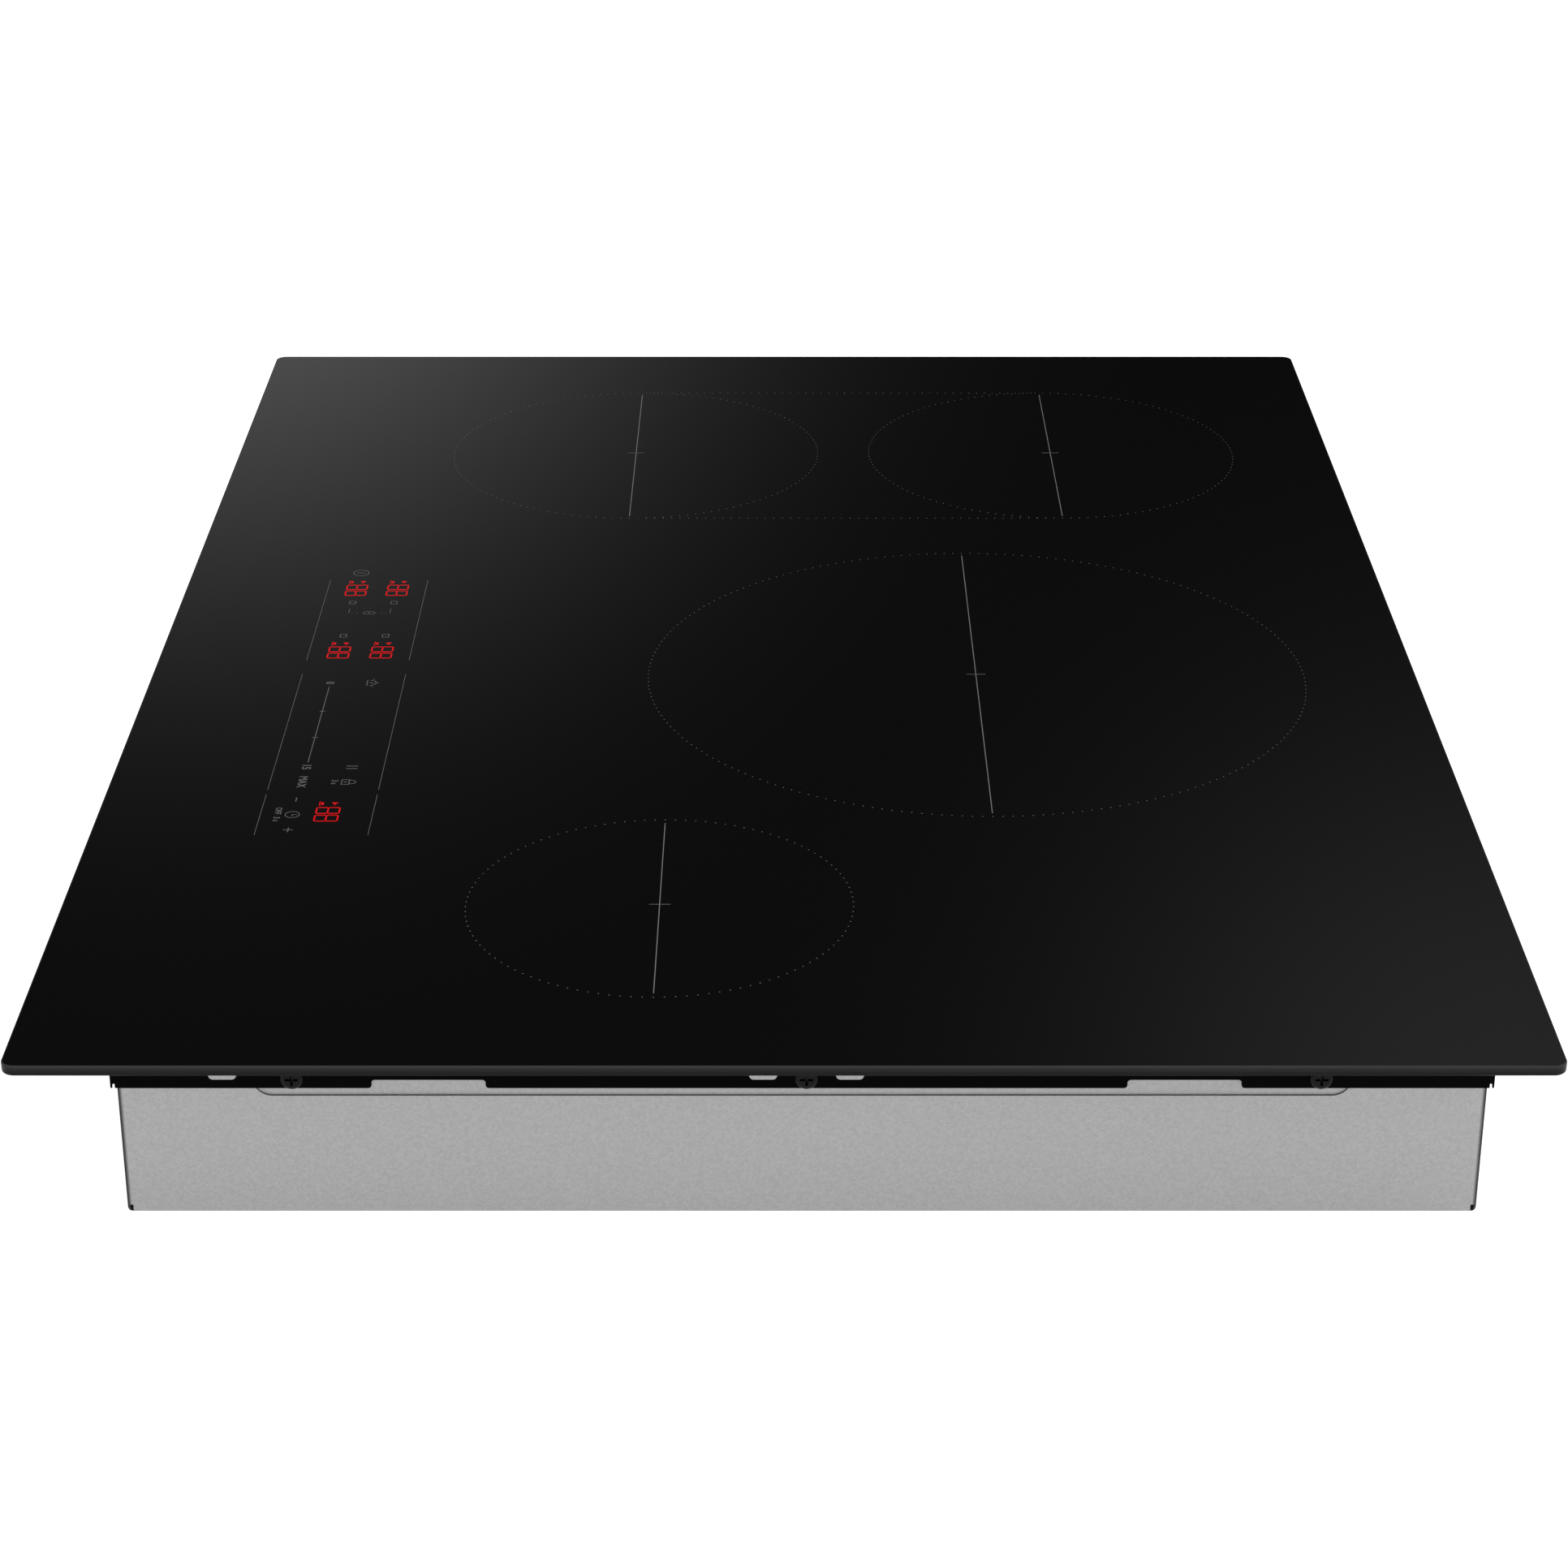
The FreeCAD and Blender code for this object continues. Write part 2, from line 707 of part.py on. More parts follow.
def make_frame():
    """A folded ring: a flange under the glass and a skirt down each side."""
    body = new_body("support_frame")
    low_y, high_y = f"body_shift - {FRAME_HALF_Y}", f"body_shift + {FRAME_HALF_Y}"
    outline = sketch(
        body,
        "frame_outline",
        "XY_Plane",
        [("rect", f"-{FRAME_HALF_X}", low_y, FRAME_HALF_X, high_y)],
        SIDE_SKIRT_LOW,
    )
    pad(body, outline, f"{FLANGE_TOP} - {SIDE_SKIRT_LOW}", "frame_block")
    dress(body, "Fillet", "frame_corners", "frame_bend", along(Vector(0, 0, 1)))
    inner_x = f"({FRAME_HALF_X} - frame_sheet)"
    cavity = sketch(
        body,
        "frame_cavity_outline",
        "XY_Plane",
        [("rect", f"-{inner_x}", f"{low_y} + frame_sheet", inner_x, f"{high_y} - frame_sheet")],
        SIDE_SKIRT_LOW,
    )
    pocket(body, cavity, "frame_cavity", f"{CASE_TOP} - {SIDE_SKIRT_LOW}", reverse=True)
    window_x = f"({FRAME_HALF_X} - frame_flange)"
    window = sketch(
        body,
        "frame_window_outline",
        "XY_Plane",
        [("rect", f"-{window_x}", f"{low_y} + frame_flange", window_x, f"{high_y} - frame_flange")],
        FLANGE_TOP,
    )
    pocket(body, window, "frame_window")
    # the front and rear skirts end a little higher, with a relief beside each corner
    trim = sketch(
        body,
        "end_skirt_trim_outline",
        "XZ_Plane",
        [
            (
                "rect",
                f"-{inner_x}",
                f"{SIDE_SKIRT_LOW} - 1",
                inner_x,
                END_SKIRT_LOW,
            )
        ],
    )
    pocket(body, trim, "end_skirt_trim", both=True)
    reliefs = [
        (
            "rect",
            f"{edge} + {sign} * frame_sheet",
            f"{SIDE_SKIRT_LOW} - 1",
            f"{edge} + {sign} * (frame_sheet + skirt_relief_width)",
            f"{SIDE_SKIRT_LOW} + skirt_relief_height",
        )
        for edge, sign in ((low_y, 1), (high_y, -1))
    ]
    notches = [
        (
            "rect",
            f"{FIXING_Y} + {sign} * notch_offset - notch_width / 2",
            f"{SIDE_SKIRT_LOW} - 1",
            f"{FIXING_Y} + {sign} * notch_offset + notch_width / 2",
            f"{SIDE_SKIRT_LOW} + notch_rise",
        )
        for sign in (-1, 1)
    ]
    slots = [tab_rect(place_, "tab_play") for place_ in TAB_PLACES]
    openings = sketch(
        body,
        "side_opening_outlines",
        "YZ_Plane",
        reliefs + notches + slots + side_holes("screw_play"),
    )
    pocket(body, openings, "side_openings", both=True)
    ends = sketch(body, "end_hole_outlines", "XZ_Plane", end_holes("screw_play"))
    pocket(body, ends, "end_holes", both=True)
    notch_ends = [
        mm(f"{FIXING_Y} + {side} * notch_offset + {end} * notch_width / 2")
        for side in (-1, 1)
        for end in (-1, 1)
    ]

    def notch_corner(edge, direction):
        centre = edge.BoundBox.Center
        return (
            along(Vector(1, 0, 0))(edge, direction)
            and centre.z < mm(SIDE_SKIRT_LOW) + mm("notch_rise") + 1e-3
            and any(abs(centre.y - end) < 1e-3 for end in notch_ends)
        )

    dress(body, "Fillet", "notch_corners", "notch_corner", notch_corner)
    dress(body, "Fillet", "slot_corners", "tab_corner + tab_play", tab_corners("tab_play"))
    return body


def make_case():
    """A deep tray of galvanised sheet, with a joggled band along its left and right walls."""
    body = new_body("bottom_case")
    half_x, half_y = CASE_HALF_X, CASE_HALF_Y
    low_y, high_y = f"body_shift - {half_y}", f"body_shift + {half_y}"
    outline = sketch(body, "case_outline", "XY_Plane", [("rect", f"-{half_x}", low_y, half_x, high_y)])
    pad(body, outline, CASE_TOP, "case_block")
    for name, edge, reverse in (("right", half_x, False), ("left", f"-{half_x}", True)):
        band = sketch(
            body,
            name + "_band_outline",
            "YZ_Plane",
            [
                (
                    "rect",
                    f"body_shift - {RECESS_HALF}",
                    RECESS_LOW,
                    f"body_shift + {RECESS_HALF}",
                    f"{CASE_TOP} + 1",
                )
            ],
            edge,
        )
        pocket(body, band, name + "_band", "recess_depth", reverse=reverse)
    dress(
        body,
        "Fillet",
        "band_corners",
        "recess_corner",
        lambda edge, direction: (
            along(Vector(1, 0, 0))(edge, direction)
            and abs(edge.Length - mm("recess_depth")) < 1e-4
            and abs(edge.BoundBox.ZMin - mm(RECESS_LOW)) < 1e-4
        ),
    )
    outer_corners = lambda edge, direction: (
        along(Vector(0, 0, 1))(edge, direction) and abs(abs(edge.BoundBox.Center.x) - mm(half_x)) < 1e-4
        and abs(abs(edge.BoundBox.Center.y - mm("body_shift")) - mm(half_y)) < 1e-4
    )
    dress(body, "Fillet", "case_corners", "case_corner", outer_corners)
    dress(body, "Fillet", "case_bends", "case_bend", at_height(0))
    solid = body.Tip
    top = max(solid.Shape.Faces, key=lambda face: (round(face.BoundBox.ZMin, 3), face.Area))
    number = next(i for i, face in enumerate(solid.Shape.Faces, 1) if face.isSame(top))
    shell = body.newObject("PartDesign::Thickness", "case_shell")
    shell.Base = (solid, [f"Face{number}"])
    shell.Reversed = True
    shell.Join = 0
    bind(shell, Value="case_sheet")
    doc.recompute()

    # locating tabs that stand through the frame's slots
    for name, sign in (("right", 1), ("left", -1)):
        start = f"{sign} * ({half_x} - recess_depth - case_sheet / 2)"
        profile = sketch(body, name + "_tab_outlines", "YZ_Plane", [tab_rect(p, "0") for p in TAB_PLACES], start)
        tabs = pad(
            body,
            profile,
            "case_sheet / 2 + recess_depth + frame_gap + frame_sheet + tab_proud",
            name + "_tabs",
        )
        tabs.Reversed = sign < 0
    dress(body, "Fillet", "tab_corners", "tab_corner", tab_corners("0"))

    # corner reliefs at the foot of the side walls
    for name, edge, reverse in (("right", half_x, False), ("left", f"-{half_x}", True)):
        reliefs = [
            (
                "rect",
                f"{side_edge} + {sign} * relief_inset",
                "case_sheet",
                f"{side_edge} + {sign} * (relief_inset + relief_width)",
                "relief_height",
            )
            for side_edge, sign in ((low_y, 1), (high_y, -1))
        ]
        profile = sketch(body, name + "_relief_outlines", "YZ_Plane", reliefs, edge)
        pocket(body, profile, name + "_reliefs", "relief_reach", reverse=reverse)

    # air inlets under the two blowers: one slot, repeated in X, in two rows
    pitch = "vent_pitch"
    first_slots = []
    for name, module_x in MODULES.items():
        for row, side in (("near", -1), ("far", 1)):
            x = f"{module_x} + blower_x - (vent_count - 1) / 2 * {pitch}"
            y = f"module_y + blower_y + {side} * (vent_slot_length / 2 + 2 * vent_slot_half)"
            reach = "(vent_slot_length / 2 - vent_slot_half)"
            # the slot's sketch is turned so that its length runs along Y
            profile = sketch(
                body,
                f"{name}_{row}_vent_outline",
                "XY_Plane",
                [("slot", f"{y} - {reach}", f"{y} + {reach}", f"-({x})", "vent_slot_half")],
                "case_sheet + 1",
            )
            profile.AttachmentOffset = Placement(Vector(), Rotation(Vector(0, 0, 1), 90))
            bind(profile, AttachmentOffset__Base__z="case_sheet + 1")
            first_slots.append(pocket(body, profile, f"{name}_{row}_vent", "case_sheet + 2"))
    linear(body, first_slots, "X_Axis", f"(vent_count - 1) * {pitch}", "vent_count", "vents")

    # warm air leaves through slots in the front wall
    outlets = []
    for name, module_x in MODULES.items():
        x = f"{module_x} + sink_x - (outlet_count - 1) / 2 * {pitch}"
        profile = sketch(
            body,
            name + "_outlet_outline",
            "XZ_Plane",
            [("slot", "outlet_low", "outlet_low + outlet_slot_length", f"-({x})", "vent_slot_half")],
            f"{half_y} - body_shift - case_sheet - 1",
        )
        profile.AttachmentOffset = Placement(Vector(), Rotation(Vector(0, 0, 1), 90))
        bind(profile, AttachmentOffset__Base__z=f"{half_y} - body_shift - case_sheet - 1")
        outlets.append(pocket(body, profile, name + "_outlet", "case_sheet + 2", reverse=True))
    linear(body, outlets, "X_Axis", f"(outlet_count - 1) * {pitch}", "outlet_count", "outlets")

    # screw holes, bracket holes and cable inlet
    sides = sketch(body, "case_side_hole_outlines", "YZ_Plane", side_holes("screw_play"))
    pocket(body, sides, "case_side_holes", both=True)
    ends = sketch(body, "case_end_hole_outlines", "XZ_Plane", end_holes("screw_play"))
    pocket(body, ends, "case_end_holes", both=True)
    brackets = sketch(
        body,
        "bracket_hole_outlines",
        "XY_Plane",
        [
            (
                "circle",
                f"{i} * ({half_x} - bracket_inset_x)",
                f"body_shift + {j} * ({half_y} - bracket_inset_y)",
                "bracket_hole",
            )
            for i in (-1, 1)
            for j in (-1, 1)
        ],
        "case_sheet + 1",
    )
    pocket(body, brackets, "bracket_holes", "case_sheet + 2")
    inlet = sketch(
        body,
        "inlet_outline",
        "XZ_Plane",
        [("circle", "inlet_x", "inlet_z", "bush_bore + bush_wall + bush_play")],
        f"-({high_y} - case_sheet - 1)",
    )
    pocket(body, inlet, "cable_inlet", "case_sheet + 2")
    return body


# ---------------------------------------------------------------- screws
# a pan head's dome, and the reach, half width and depth of its cross, as shares of the head's size
DOME, CROSS_REACH, CROSS_HALF, CROSS_DEPTH = 0.6, 0.55, 0.11, 0.65


def make_screw(name, shank, head, head_high, length):
    """A pan-head screw with a cross recess. Its seat is the XY plane and its shank points down."""
    body = new_body(name)
    disc = sketch(body, name + "_head_outline", "XY_Plane", [("circle", "0", "0", head)])
    pad(body, disc, head_high, name + "_head")
    dress(body, "Fillet", name + "_dome", f"{DOME} * {head_high}", at_height(mm(head_high)))
    arm, half = f"({CROSS_REACH} * {head})", f"({CROSS_HALF} * {head})"
    cross = [
        (f"-{half}", f"-{arm}"),
        (half, f"-{arm}"),
        (half, f"-{half}"),
        (arm, f"-{half}"),
        (arm, half),
        (half, half),
        (half, arm),
        (f"-{half}", arm),
        (f"-{half}", half),
        (f"-{arm}", half),
        (f"-{arm}", f"-{half}"),
        (f"-{half}", f"-{half}"),
    ]
    recess = sketch(body, name + "_cross", "XY_Plane", [("polygon", cross)], head_high)
    pocket(body, recess, name + "_recess", f"{CROSS_DEPTH} * {head_high}")
    rod = sketch(body, name + "_shank_outline", "XY_Plane", [("circle", "0", "0", shank)], f"-{length}")
    pad(body, rod, length, name + "_shank")
    return body


def make_frame_screws(master):
    members = []
    for i in (-1, 0, 1):
        y = f"{FIXING_Y} + {i} * frame_screw_side_pitch"
        x = f"{i} * frame_screw_end_pitch"
        rear, front = f"body_shift + {FRAME_HALF_Y}", f"body_shift - {FRAME_HALF_Y}"
        number = i + 2
        members += [
            link(f"right_screw_{number}", master, FRAME_HALF_X, y, FRAME_SCREW_Z, EAST),
            link(f"left_screw_{number}", master, f"-{FRAME_HALF_X}", y, FRAME_SCREW_Z, WEST),
            link(f"rear_screw_{number}", master, x, rear, FRAME_SCREW_Z, NORTH),
            link(f"front_screw_{number}", master, x, front, FRAME_SCREW_Z, SOUTH),
        ]
    return group("frame_screws", members)


# ---------------------------------------------------------------- coils
def spiral_strip(inner, outer, pitch, width, height):
    """A flat spiral conductor of half-circle arcs that join smoothly, as one solid."""
    halves = 2 * int((outer - inner - width / 2) / pitch)
    far_side, near_side = [], []
    for k in range(halves):
        middle = inner + k * pitch / 2
        centre = Vector(0 if k % 2 == 0 else pitch / 2, 0, 0)
        start = 0 if k % 2 == 0 else math.pi
        for offset, side in ((width / 2, far_side), (-width / 2, near_side)):
            circle = Part.Circle(centre, Vector(0, 0, 1), middle + offset)
            side.append(Part.ArcOfCircle(circle, start, start + math.pi).toShape())
    ends = [
        Part.LineSegment(near_side[0].Vertexes[0].Point, far_side[0].Vertexes[0].Point).toShape(),
        Part.LineSegment(far_side[-1].Vertexes[-1].Point, near_side[-1].Vertexes[-1].Point).toShape(),
    ]
    outline = Part.Wire(Part.__sortEdges__(far_side + near_side + ends))
    return Part.Face(outline).extrude(Vector(0, 0, height))


def make_winding(name, outer, x, y):
    """Flattened litz wire wound as a spiral; the large zone has an inner disc and an outer ring."""
    made = doc.addObject("Part::Feature", "coil_winding_" + name)
    inner, pitch = mm("coil_inner"), mm("wire_pitch")
    if name == "centre":
        spans = [(inner, mm("ring_split")), (mm("ring_split + ring_gap"), mm(outer))]
    else:
        spans = [(inner, mm(outer))]
    strips = [spiral_strip(a, b, pitch, mm("wire_width"), mm("wire_height")) for a, b in spans]
    made.Shape = Part.Compound(strips) if len(strips) > 1 else strips[0]
    return place(made, x, y, WIRE_Z)


def make_former(name, outer, bars, x, y):
    """The plastic coil carrier: a base with a window between each two ferrite bars, and a rim."""
    body = new_body("coil_former_" + name)
    rim_in = f"({outer} + former_rim_play)"
    rim_out = f"({outer} + former_rim_play + former_rim)"
    base = sketch(
        body,
        name + "_base_outline",
        "XY_Plane",
        [("circle", "0", "0", rim_out), ("circle", "0", "0", "former_hole")],
    )
    pad(body, base, "former_base", name + "_base")
    rim = sketch(
        body,
        name + "_rim_outline",
        "XY_Plane",
        [("circle", "0", "0", rim_out), ("circle", "0", "0", rim_in)],
        "former_base",
    )
    pad(body, rim, "wire_height - 1", name + "_rim")
    # each window is a truncated sector between two bars
    span = math.pi / bars
    low, high = "(ferrite_inner + 6)", f"({outer} - 14)"
    slope = math.tan(span)
    turn = Rotation(Vector(0, 0, 1), 180 / bars)
    corners = [
        (low, f"-({low} * {slope:.5f} - ferrite_width * 0.7)"),
        (high, f"-({high} * {slope:.5f} - ferrite_width * 0.7)"),
        (high, f"{high} * {slope:.5f} - ferrite_width * 0.7"),
        (low, f"{low} * {slope:.5f} - ferrite_width * 0.7"),
    ]
    if mm(corners[3][1]) < 1:
        shift = (1 - mm(corners[3][1])) / slope
        low = f"({low} + {shift:.3f})"
        corners[0] = (low, f"-({low} * {slope:.5f} - ferrite_width * 0.7)")
        corners[3] = (low, f"{low} * {slope:.5f} - ferrite_width * 0.7")
    window = sketch(body, name + "_window_outline", "XY_Plane", [("polygon", corners)], "former_base")
    window.AttachmentOffset = Placement(Vector(), turn)
    bind(window, AttachmentOffset__Base__z="former_base")
    cutter = pocket(body, window, name + "_window")
    polar(body, [cutter], str(bars), name + "_windows")
    return place(body, x, y, FORMER_Z)


def make_ferrites(name, outer, bars, x, y):
    """Radial ferrite bars glued under the coil former."""
    body = new_body("ferrite_bars_" + name)
    outline = sketch(
        body,
        name + "_bar_outline",
        "XY_Plane",
        [("rect", "ferrite_inner", "-ferrite_width / 2", f"{outer} - ferrite_margin", "ferrite_width / 2")],
    )
    bar = pad(body, outline, "ferrite_thick", name + "_bar")
    doc.recompute()
    polar(body, [bar], str(bars), name + "_bars")
    return place(body, x, y, FERRITE_Z)


def make_sensor_master():
    """A spring-loaded temperature sensor in its silicone boot, standing on the plate."""
    stem = cylinder("sensor_stem_rod", "0", "0", "0", "sensor_stem", f"rim_height - {PLATE_TOP}")
    cap_z = f"rim_height - {PLATE_TOP} - sensor_cap_high"
    cap = cylinder("sensor_cap_disc", "0", "0", cap_z, "sensor_cap", "sensor_cap_high")
    return fuse("sensor", [stem, cap])


def make_spring_master():
    """A compression spring under a coil former: each half turn is a tilted half circle, joined smoothly."""
    made = doc.addObject("Part::Feature", "coil_spring")
    wire, radius = mm("coil_spring_wire"), mm("coil_spring_radius")
    halves = 2 * SIZES["coil_spring_turns"]
    rise = mm("coil_spring_high - 2 * coil_spring_wire - 4 * coil_spring_play") / halves
    turns = []
    for k in range(halves):
        side = 1 if k % 2 == 0 else -1
        start, end = Vector(side * radius, 0, k * rise), Vector(-side * radius, 0, (k + 1) * rise)
        middle = (start + end) * 0.5 + Vector(0, side * math.hypot(radius, rise / 2), 0)
        turns.append(Part.Arc(start, middle, end).toShape())
    section = Part.Wire(Part.Circle(Vector(radius, 0, 0), Vector(0, 1, 0), wire).toShape())
    made.Shape = Part.Wire(turns).makePipeShell([section], True, False)
    return made


def make_coils():
    springs, sensors = [], []
    sensor, spring = make_sensor_master(), make_spring_master()
    for name, (x, y, outer, bars) in ZONES.items():
        subpart(make_winding(name, outer, x, y))
        subpart(make_former(name, outer, bars, x, y))
        subpart(make_ferrites(name, outer, bars, x, y))
        mica = f"({outer} + former_rim_play + former_rim)"
        subpart(ring_body("mica_disc_" + name, mica, "mica_hole", "mica_thick", x, y, MICA_Z))
        sensors.append(link("sensor_" + name, sensor, x, y, PLATE_TOP))
        for k in range(SPRINGS_PER_COIL):
            # each spring stands midway between two ferrite bars
            step = round(k * bars / SPRINGS_PER_COIL) + 0.5
            angle = 2 * math.pi * step / bars
            reach = f"({outer} * {SPRING_SPREAD})"
            springs.append(
                link(
                    f"spring_{name}_{k + 1}",
                    spring,
                    f"{x} + {reach} * {math.cos(angle):.6f}",
                    f"{y} + {reach} * {math.sin(angle):.6f}",
                    f"{PLATE_TOP} + coil_spring_wire + 2 * coil_spring_play",
                )
            )
    subpart(group("temperature_sensors", sensors))
    subpart(group("coil_springs", springs))


# ---------------------------------------------------------------- coil plates and pillars
PILLAR_REAR_Y = f"(body_shift + {CASE_HALF_Y} - pillar_rear_gap)"
# for each plate: its rows of pillars in X, from left to right, and the front one in Y
PLATE_ROWS = {
    "left": ([f"(pillar_side_gap - {CASE_HALF_X})", "left_plate_inner_x"], "left_plate_front_y"),
    "right": (
        ["right_plate_inner_x", "right_plate_middle_x", f"({CASE_HALF_X} - pillar_side_gap)"],
        "(panel_high_y + pillar_panel_gap)",
    ),
}
PILLARS = {
    side: [(x, y) for x in rows for y in (front, PILLAR_REAR_Y)] for side, (rows, front) in PLATE_ROWS.items()
}
PLATE_ZONES = {"left": ("front_left", "rear_left"), "right": ("centre", "right")}


def make_plate(side):
    """An aluminium sheet that carries the coils on its side and shields the electronics."""
    body = new_body("coil_plate_" + side)
    rows, front = PLATE_ROWS[side]
    loops = [
        (
            "rect",
            f"{rows[0]} - plate_edge",
            f"{front} - plate_edge",
            f"{rows[-1]} + plate_edge",
            f"{PILLAR_REAR_Y} + plate_edge",
        )
    ]
    loops += [("circle", x, y, "small_screw_shank + screw_play") for x, y in PILLARS[side]]
    for zone in PLATE_ZONES[side]:
        x, y = ZONES[zone][:2]
        loops += [("circle", f"{x} + {sign} * lead_offset", y, "lead_hole") for sign in (-1, 1)]
    outline = sketch(body, side + "_plate_outline", "XY_Plane", loops, PLATE_Z)
    pad(body, outline, "plate_thick", side + "_plate_pad")
    return body


def make_pillars_and_screws(screw):
    pillar = ring_body(
        "pillar",
        "pillar_radius",
        "small_screw_shank + screw_play",
        f"{PLATE_Z} - case_sheet",
        "0",
        "0",
        "0",
    )
    pillars, screws = [], []
    for side, places in PILLARS.items():
        for number, (x, y) in enumerate(places, 1):
            pillars.append(link(f"pillar_{side}_{number}", pillar, x, y, "case_sheet"))
            screws.append(link(f"plate_screw_{side}_{number}", screw, x, y, PLATE_TOP))
    subpart(group("plate_pillars", pillars))
    subpart(group("plate_screws", screws))


# ---------------------------------------------------------------- power modules
BOARD_CORNERS = [
    (f"{i} * (board_width / 2 - board_hole_inset)", f"{j} * (board_length / 2 - board_hole_inset)")
    for i in (-1, 1)
    for j in (-1, 1)
]
# the lugs of each coil's two leads, in steps of the lug pitch from the module's middle
FIRST_COIL_LUGS, SECOND_COIL_LUGS = (-1, 0), (2, 3)


def make_power_board():
    body = new_body("power_board_left")
    loops = [("rect", "-board_width / 2", "-board_length / 2", "board_width / 2", "board_length / 2")]
    loops += [("circle", x, y, "small_screw_shank + screw_play") for x, y in BOARD_CORNERS]
    outline = sketch(body, "power_board_outline", "XY_Plane", loops)
    pad(body, outline, "board_thick", "power_board_pad")
    lugs = sketch(
        body,
        "lug_outlines",
        "XY_Plane",
        [("circle", "lug_x", f"{n} * lug_pitch", "lug_radius") for n in FIRST_COIL_LUGS + SECOND_COIL_LUGS],
        "board_thick",
    )
    pad(body, lugs, "lug_high", "lugs")
    connector = sketch(
        body,
        "connector_outline",
        "XY_Plane",
        [
            (
                "rect",
                "ribbon_board_x - module_left_x - connector_half",
                "ribbon_y - module_y - ribbon_width / 2 - connector_margin",
                "ribbon_board_x - module_left_x + connector_half",
                "ribbon_y - module_y + ribbon_width / 2 + connector_margin",
            )
        ],
        "board_thick",
    )
    pad(body, connector, "connector_high", "connector")
    return place(body, "module_left_x", "module_y", BOARD_Z)


def make_heat_sink():
    """An extruded heat sink with fins along the air stream."""
    body = new_body("heat_sink_left")
    low, high = "(sink_x - sink_width / 2)", "(sink_x + sink_width / 2)"
    base = sketch(body, "sink_base_outline", "XZ_Plane", [("rect", low, "0", high, "sink_base")])
    base_pad = pad(body, base, "sink_length", "sink_base_pad")
    fin = sketch(
        body,
        "fin_outline",
        "XZ_Plane",
        [("rect", low, "sink_base", f"{low} + fin_thick", TALL_PART)],
    )
    fin_pad = pad(body, fin, "sink_length", "fin")
    base_pad.Reversed = fin_pad.Reversed = True
    doc.recompute()
    linear(body, [fin_pad], "X_Axis", "sink_width - fin_thick", "fin_count", "fins")
    return place(body, "module_left_x", "module_y + sink_y - sink_length / 2", BOARD_TOP)


def twin(master, name, y, z):
    """The same piece on the right-hand module."""
    return link(name, master, "module_right_x", y, z)


def module_blocks(name, x, y_list, length, width, height):
    """Equal boxes standing on both boards, their centres at x and each y of the module."""
    members = []
    for side, module_x in MODULES.items():
        for number, y in enumerate(y_list, 1):
            members.append(
                box(
                    f"{name}_{side}_{number}",
                    f"{module_x} + {x} - {length} / 2",
                    f"module_y + {y} - {width} / 2",
                    BOARD_TOP,
                    length,
                    width,
                    height,
                )
            )
    return group(name, members)


def make_module_pieces(screw):
    board = subpart(make_power_board())
    subpart(twin(board, "power_board_right", "module_y", BOARD_Z))
    sink = subpart(make_heat_sink())
    subpart(twin(sink, "heat_sink_right", "module_y + sink_y - sink_length / 2", BOARD_TOP))
    sink_low, sink_high = "(sink_x - sink_width / 2)", "(sink_x + sink_width / 2)"
    for name, x, y_list, size in (
        (
            "power_transistors",
            f"({sink_low} - transistor_thick / 2)",
            [f"sink_y + {share} * sink_length" for share in (-0.36, -0.23, 0.04, 0.36)],
            ("transistor_thick", "transistor_width", "transistor_high"),
        ),
        (
            "rectifier_bridges",
            f"({sink_high} + bridge_thick / 2)",
            ["bridge_y"],
            ("bridge_thick", "bridge_width", "bridge_high"),
        ),
        (
            "resonant_capacitors",
            "resonant_x",
            [f"(resonant_first_y + {n} * resonant_pitch)" for n in range(4)],
            ("resonant_length", "resonant_width", TALL_PART),
        ),
        (
            "bus_capacitors",
            "bus_x",
            [f"(bus_first_y + {n} * bus_pitch)" for n in range(2)],
            ("bus_length", "bus_width", TALL_PART),
        ),
    ):
        subpart(module_blocks(name, x, y_list, *size))
    standoff = ring_body(
        "standoff", "standoff_radius", "small_screw_shank + screw_play", "board_lift", "0", "0", "0"
    )
    places = [(f"{module_x} + {x}", f"module_y + {y}") for module_x in MODULES.values() for x, y in BOARD_CORNERS]
    places += FILTER_CORNERS
    standoffs = [link(f"standoff_{n}", standoff, x, y, "case_sheet") for n, (x, y) in enumerate(places, 1)]
    screws = [link(f"board_screw_{n}", screw, x, y, BOARD_TOP) for n, (x, y) in enumerate(places, 1)]
    subpart(group("board_standoffs", standoffs))
    subpart(group("board_screws", screws))
    sheets = [
        box(
            f"sheet_{name}",
            f"{x} - {width} / 2 + sheet_margin",
            f"{y} - {length} / 2 + sheet_margin",
            "case_sheet",
            f"{width} - 2 * sheet_margin",
            f"{length} - 2 * sheet_margin",
            "sheet_thick",
        )
        for name, x, y, width, length in (
            ("left", "module_left_x", "module_y", "board_width", "board_length"),
            ("right", "module_right_x", "module_y", "board_width", "board_length"),
            ("filter", "filter_x", "filter_y", "filter_width", "filter_length"),
        )
    ]
    subpart(group("insulating_sheets", sheets))


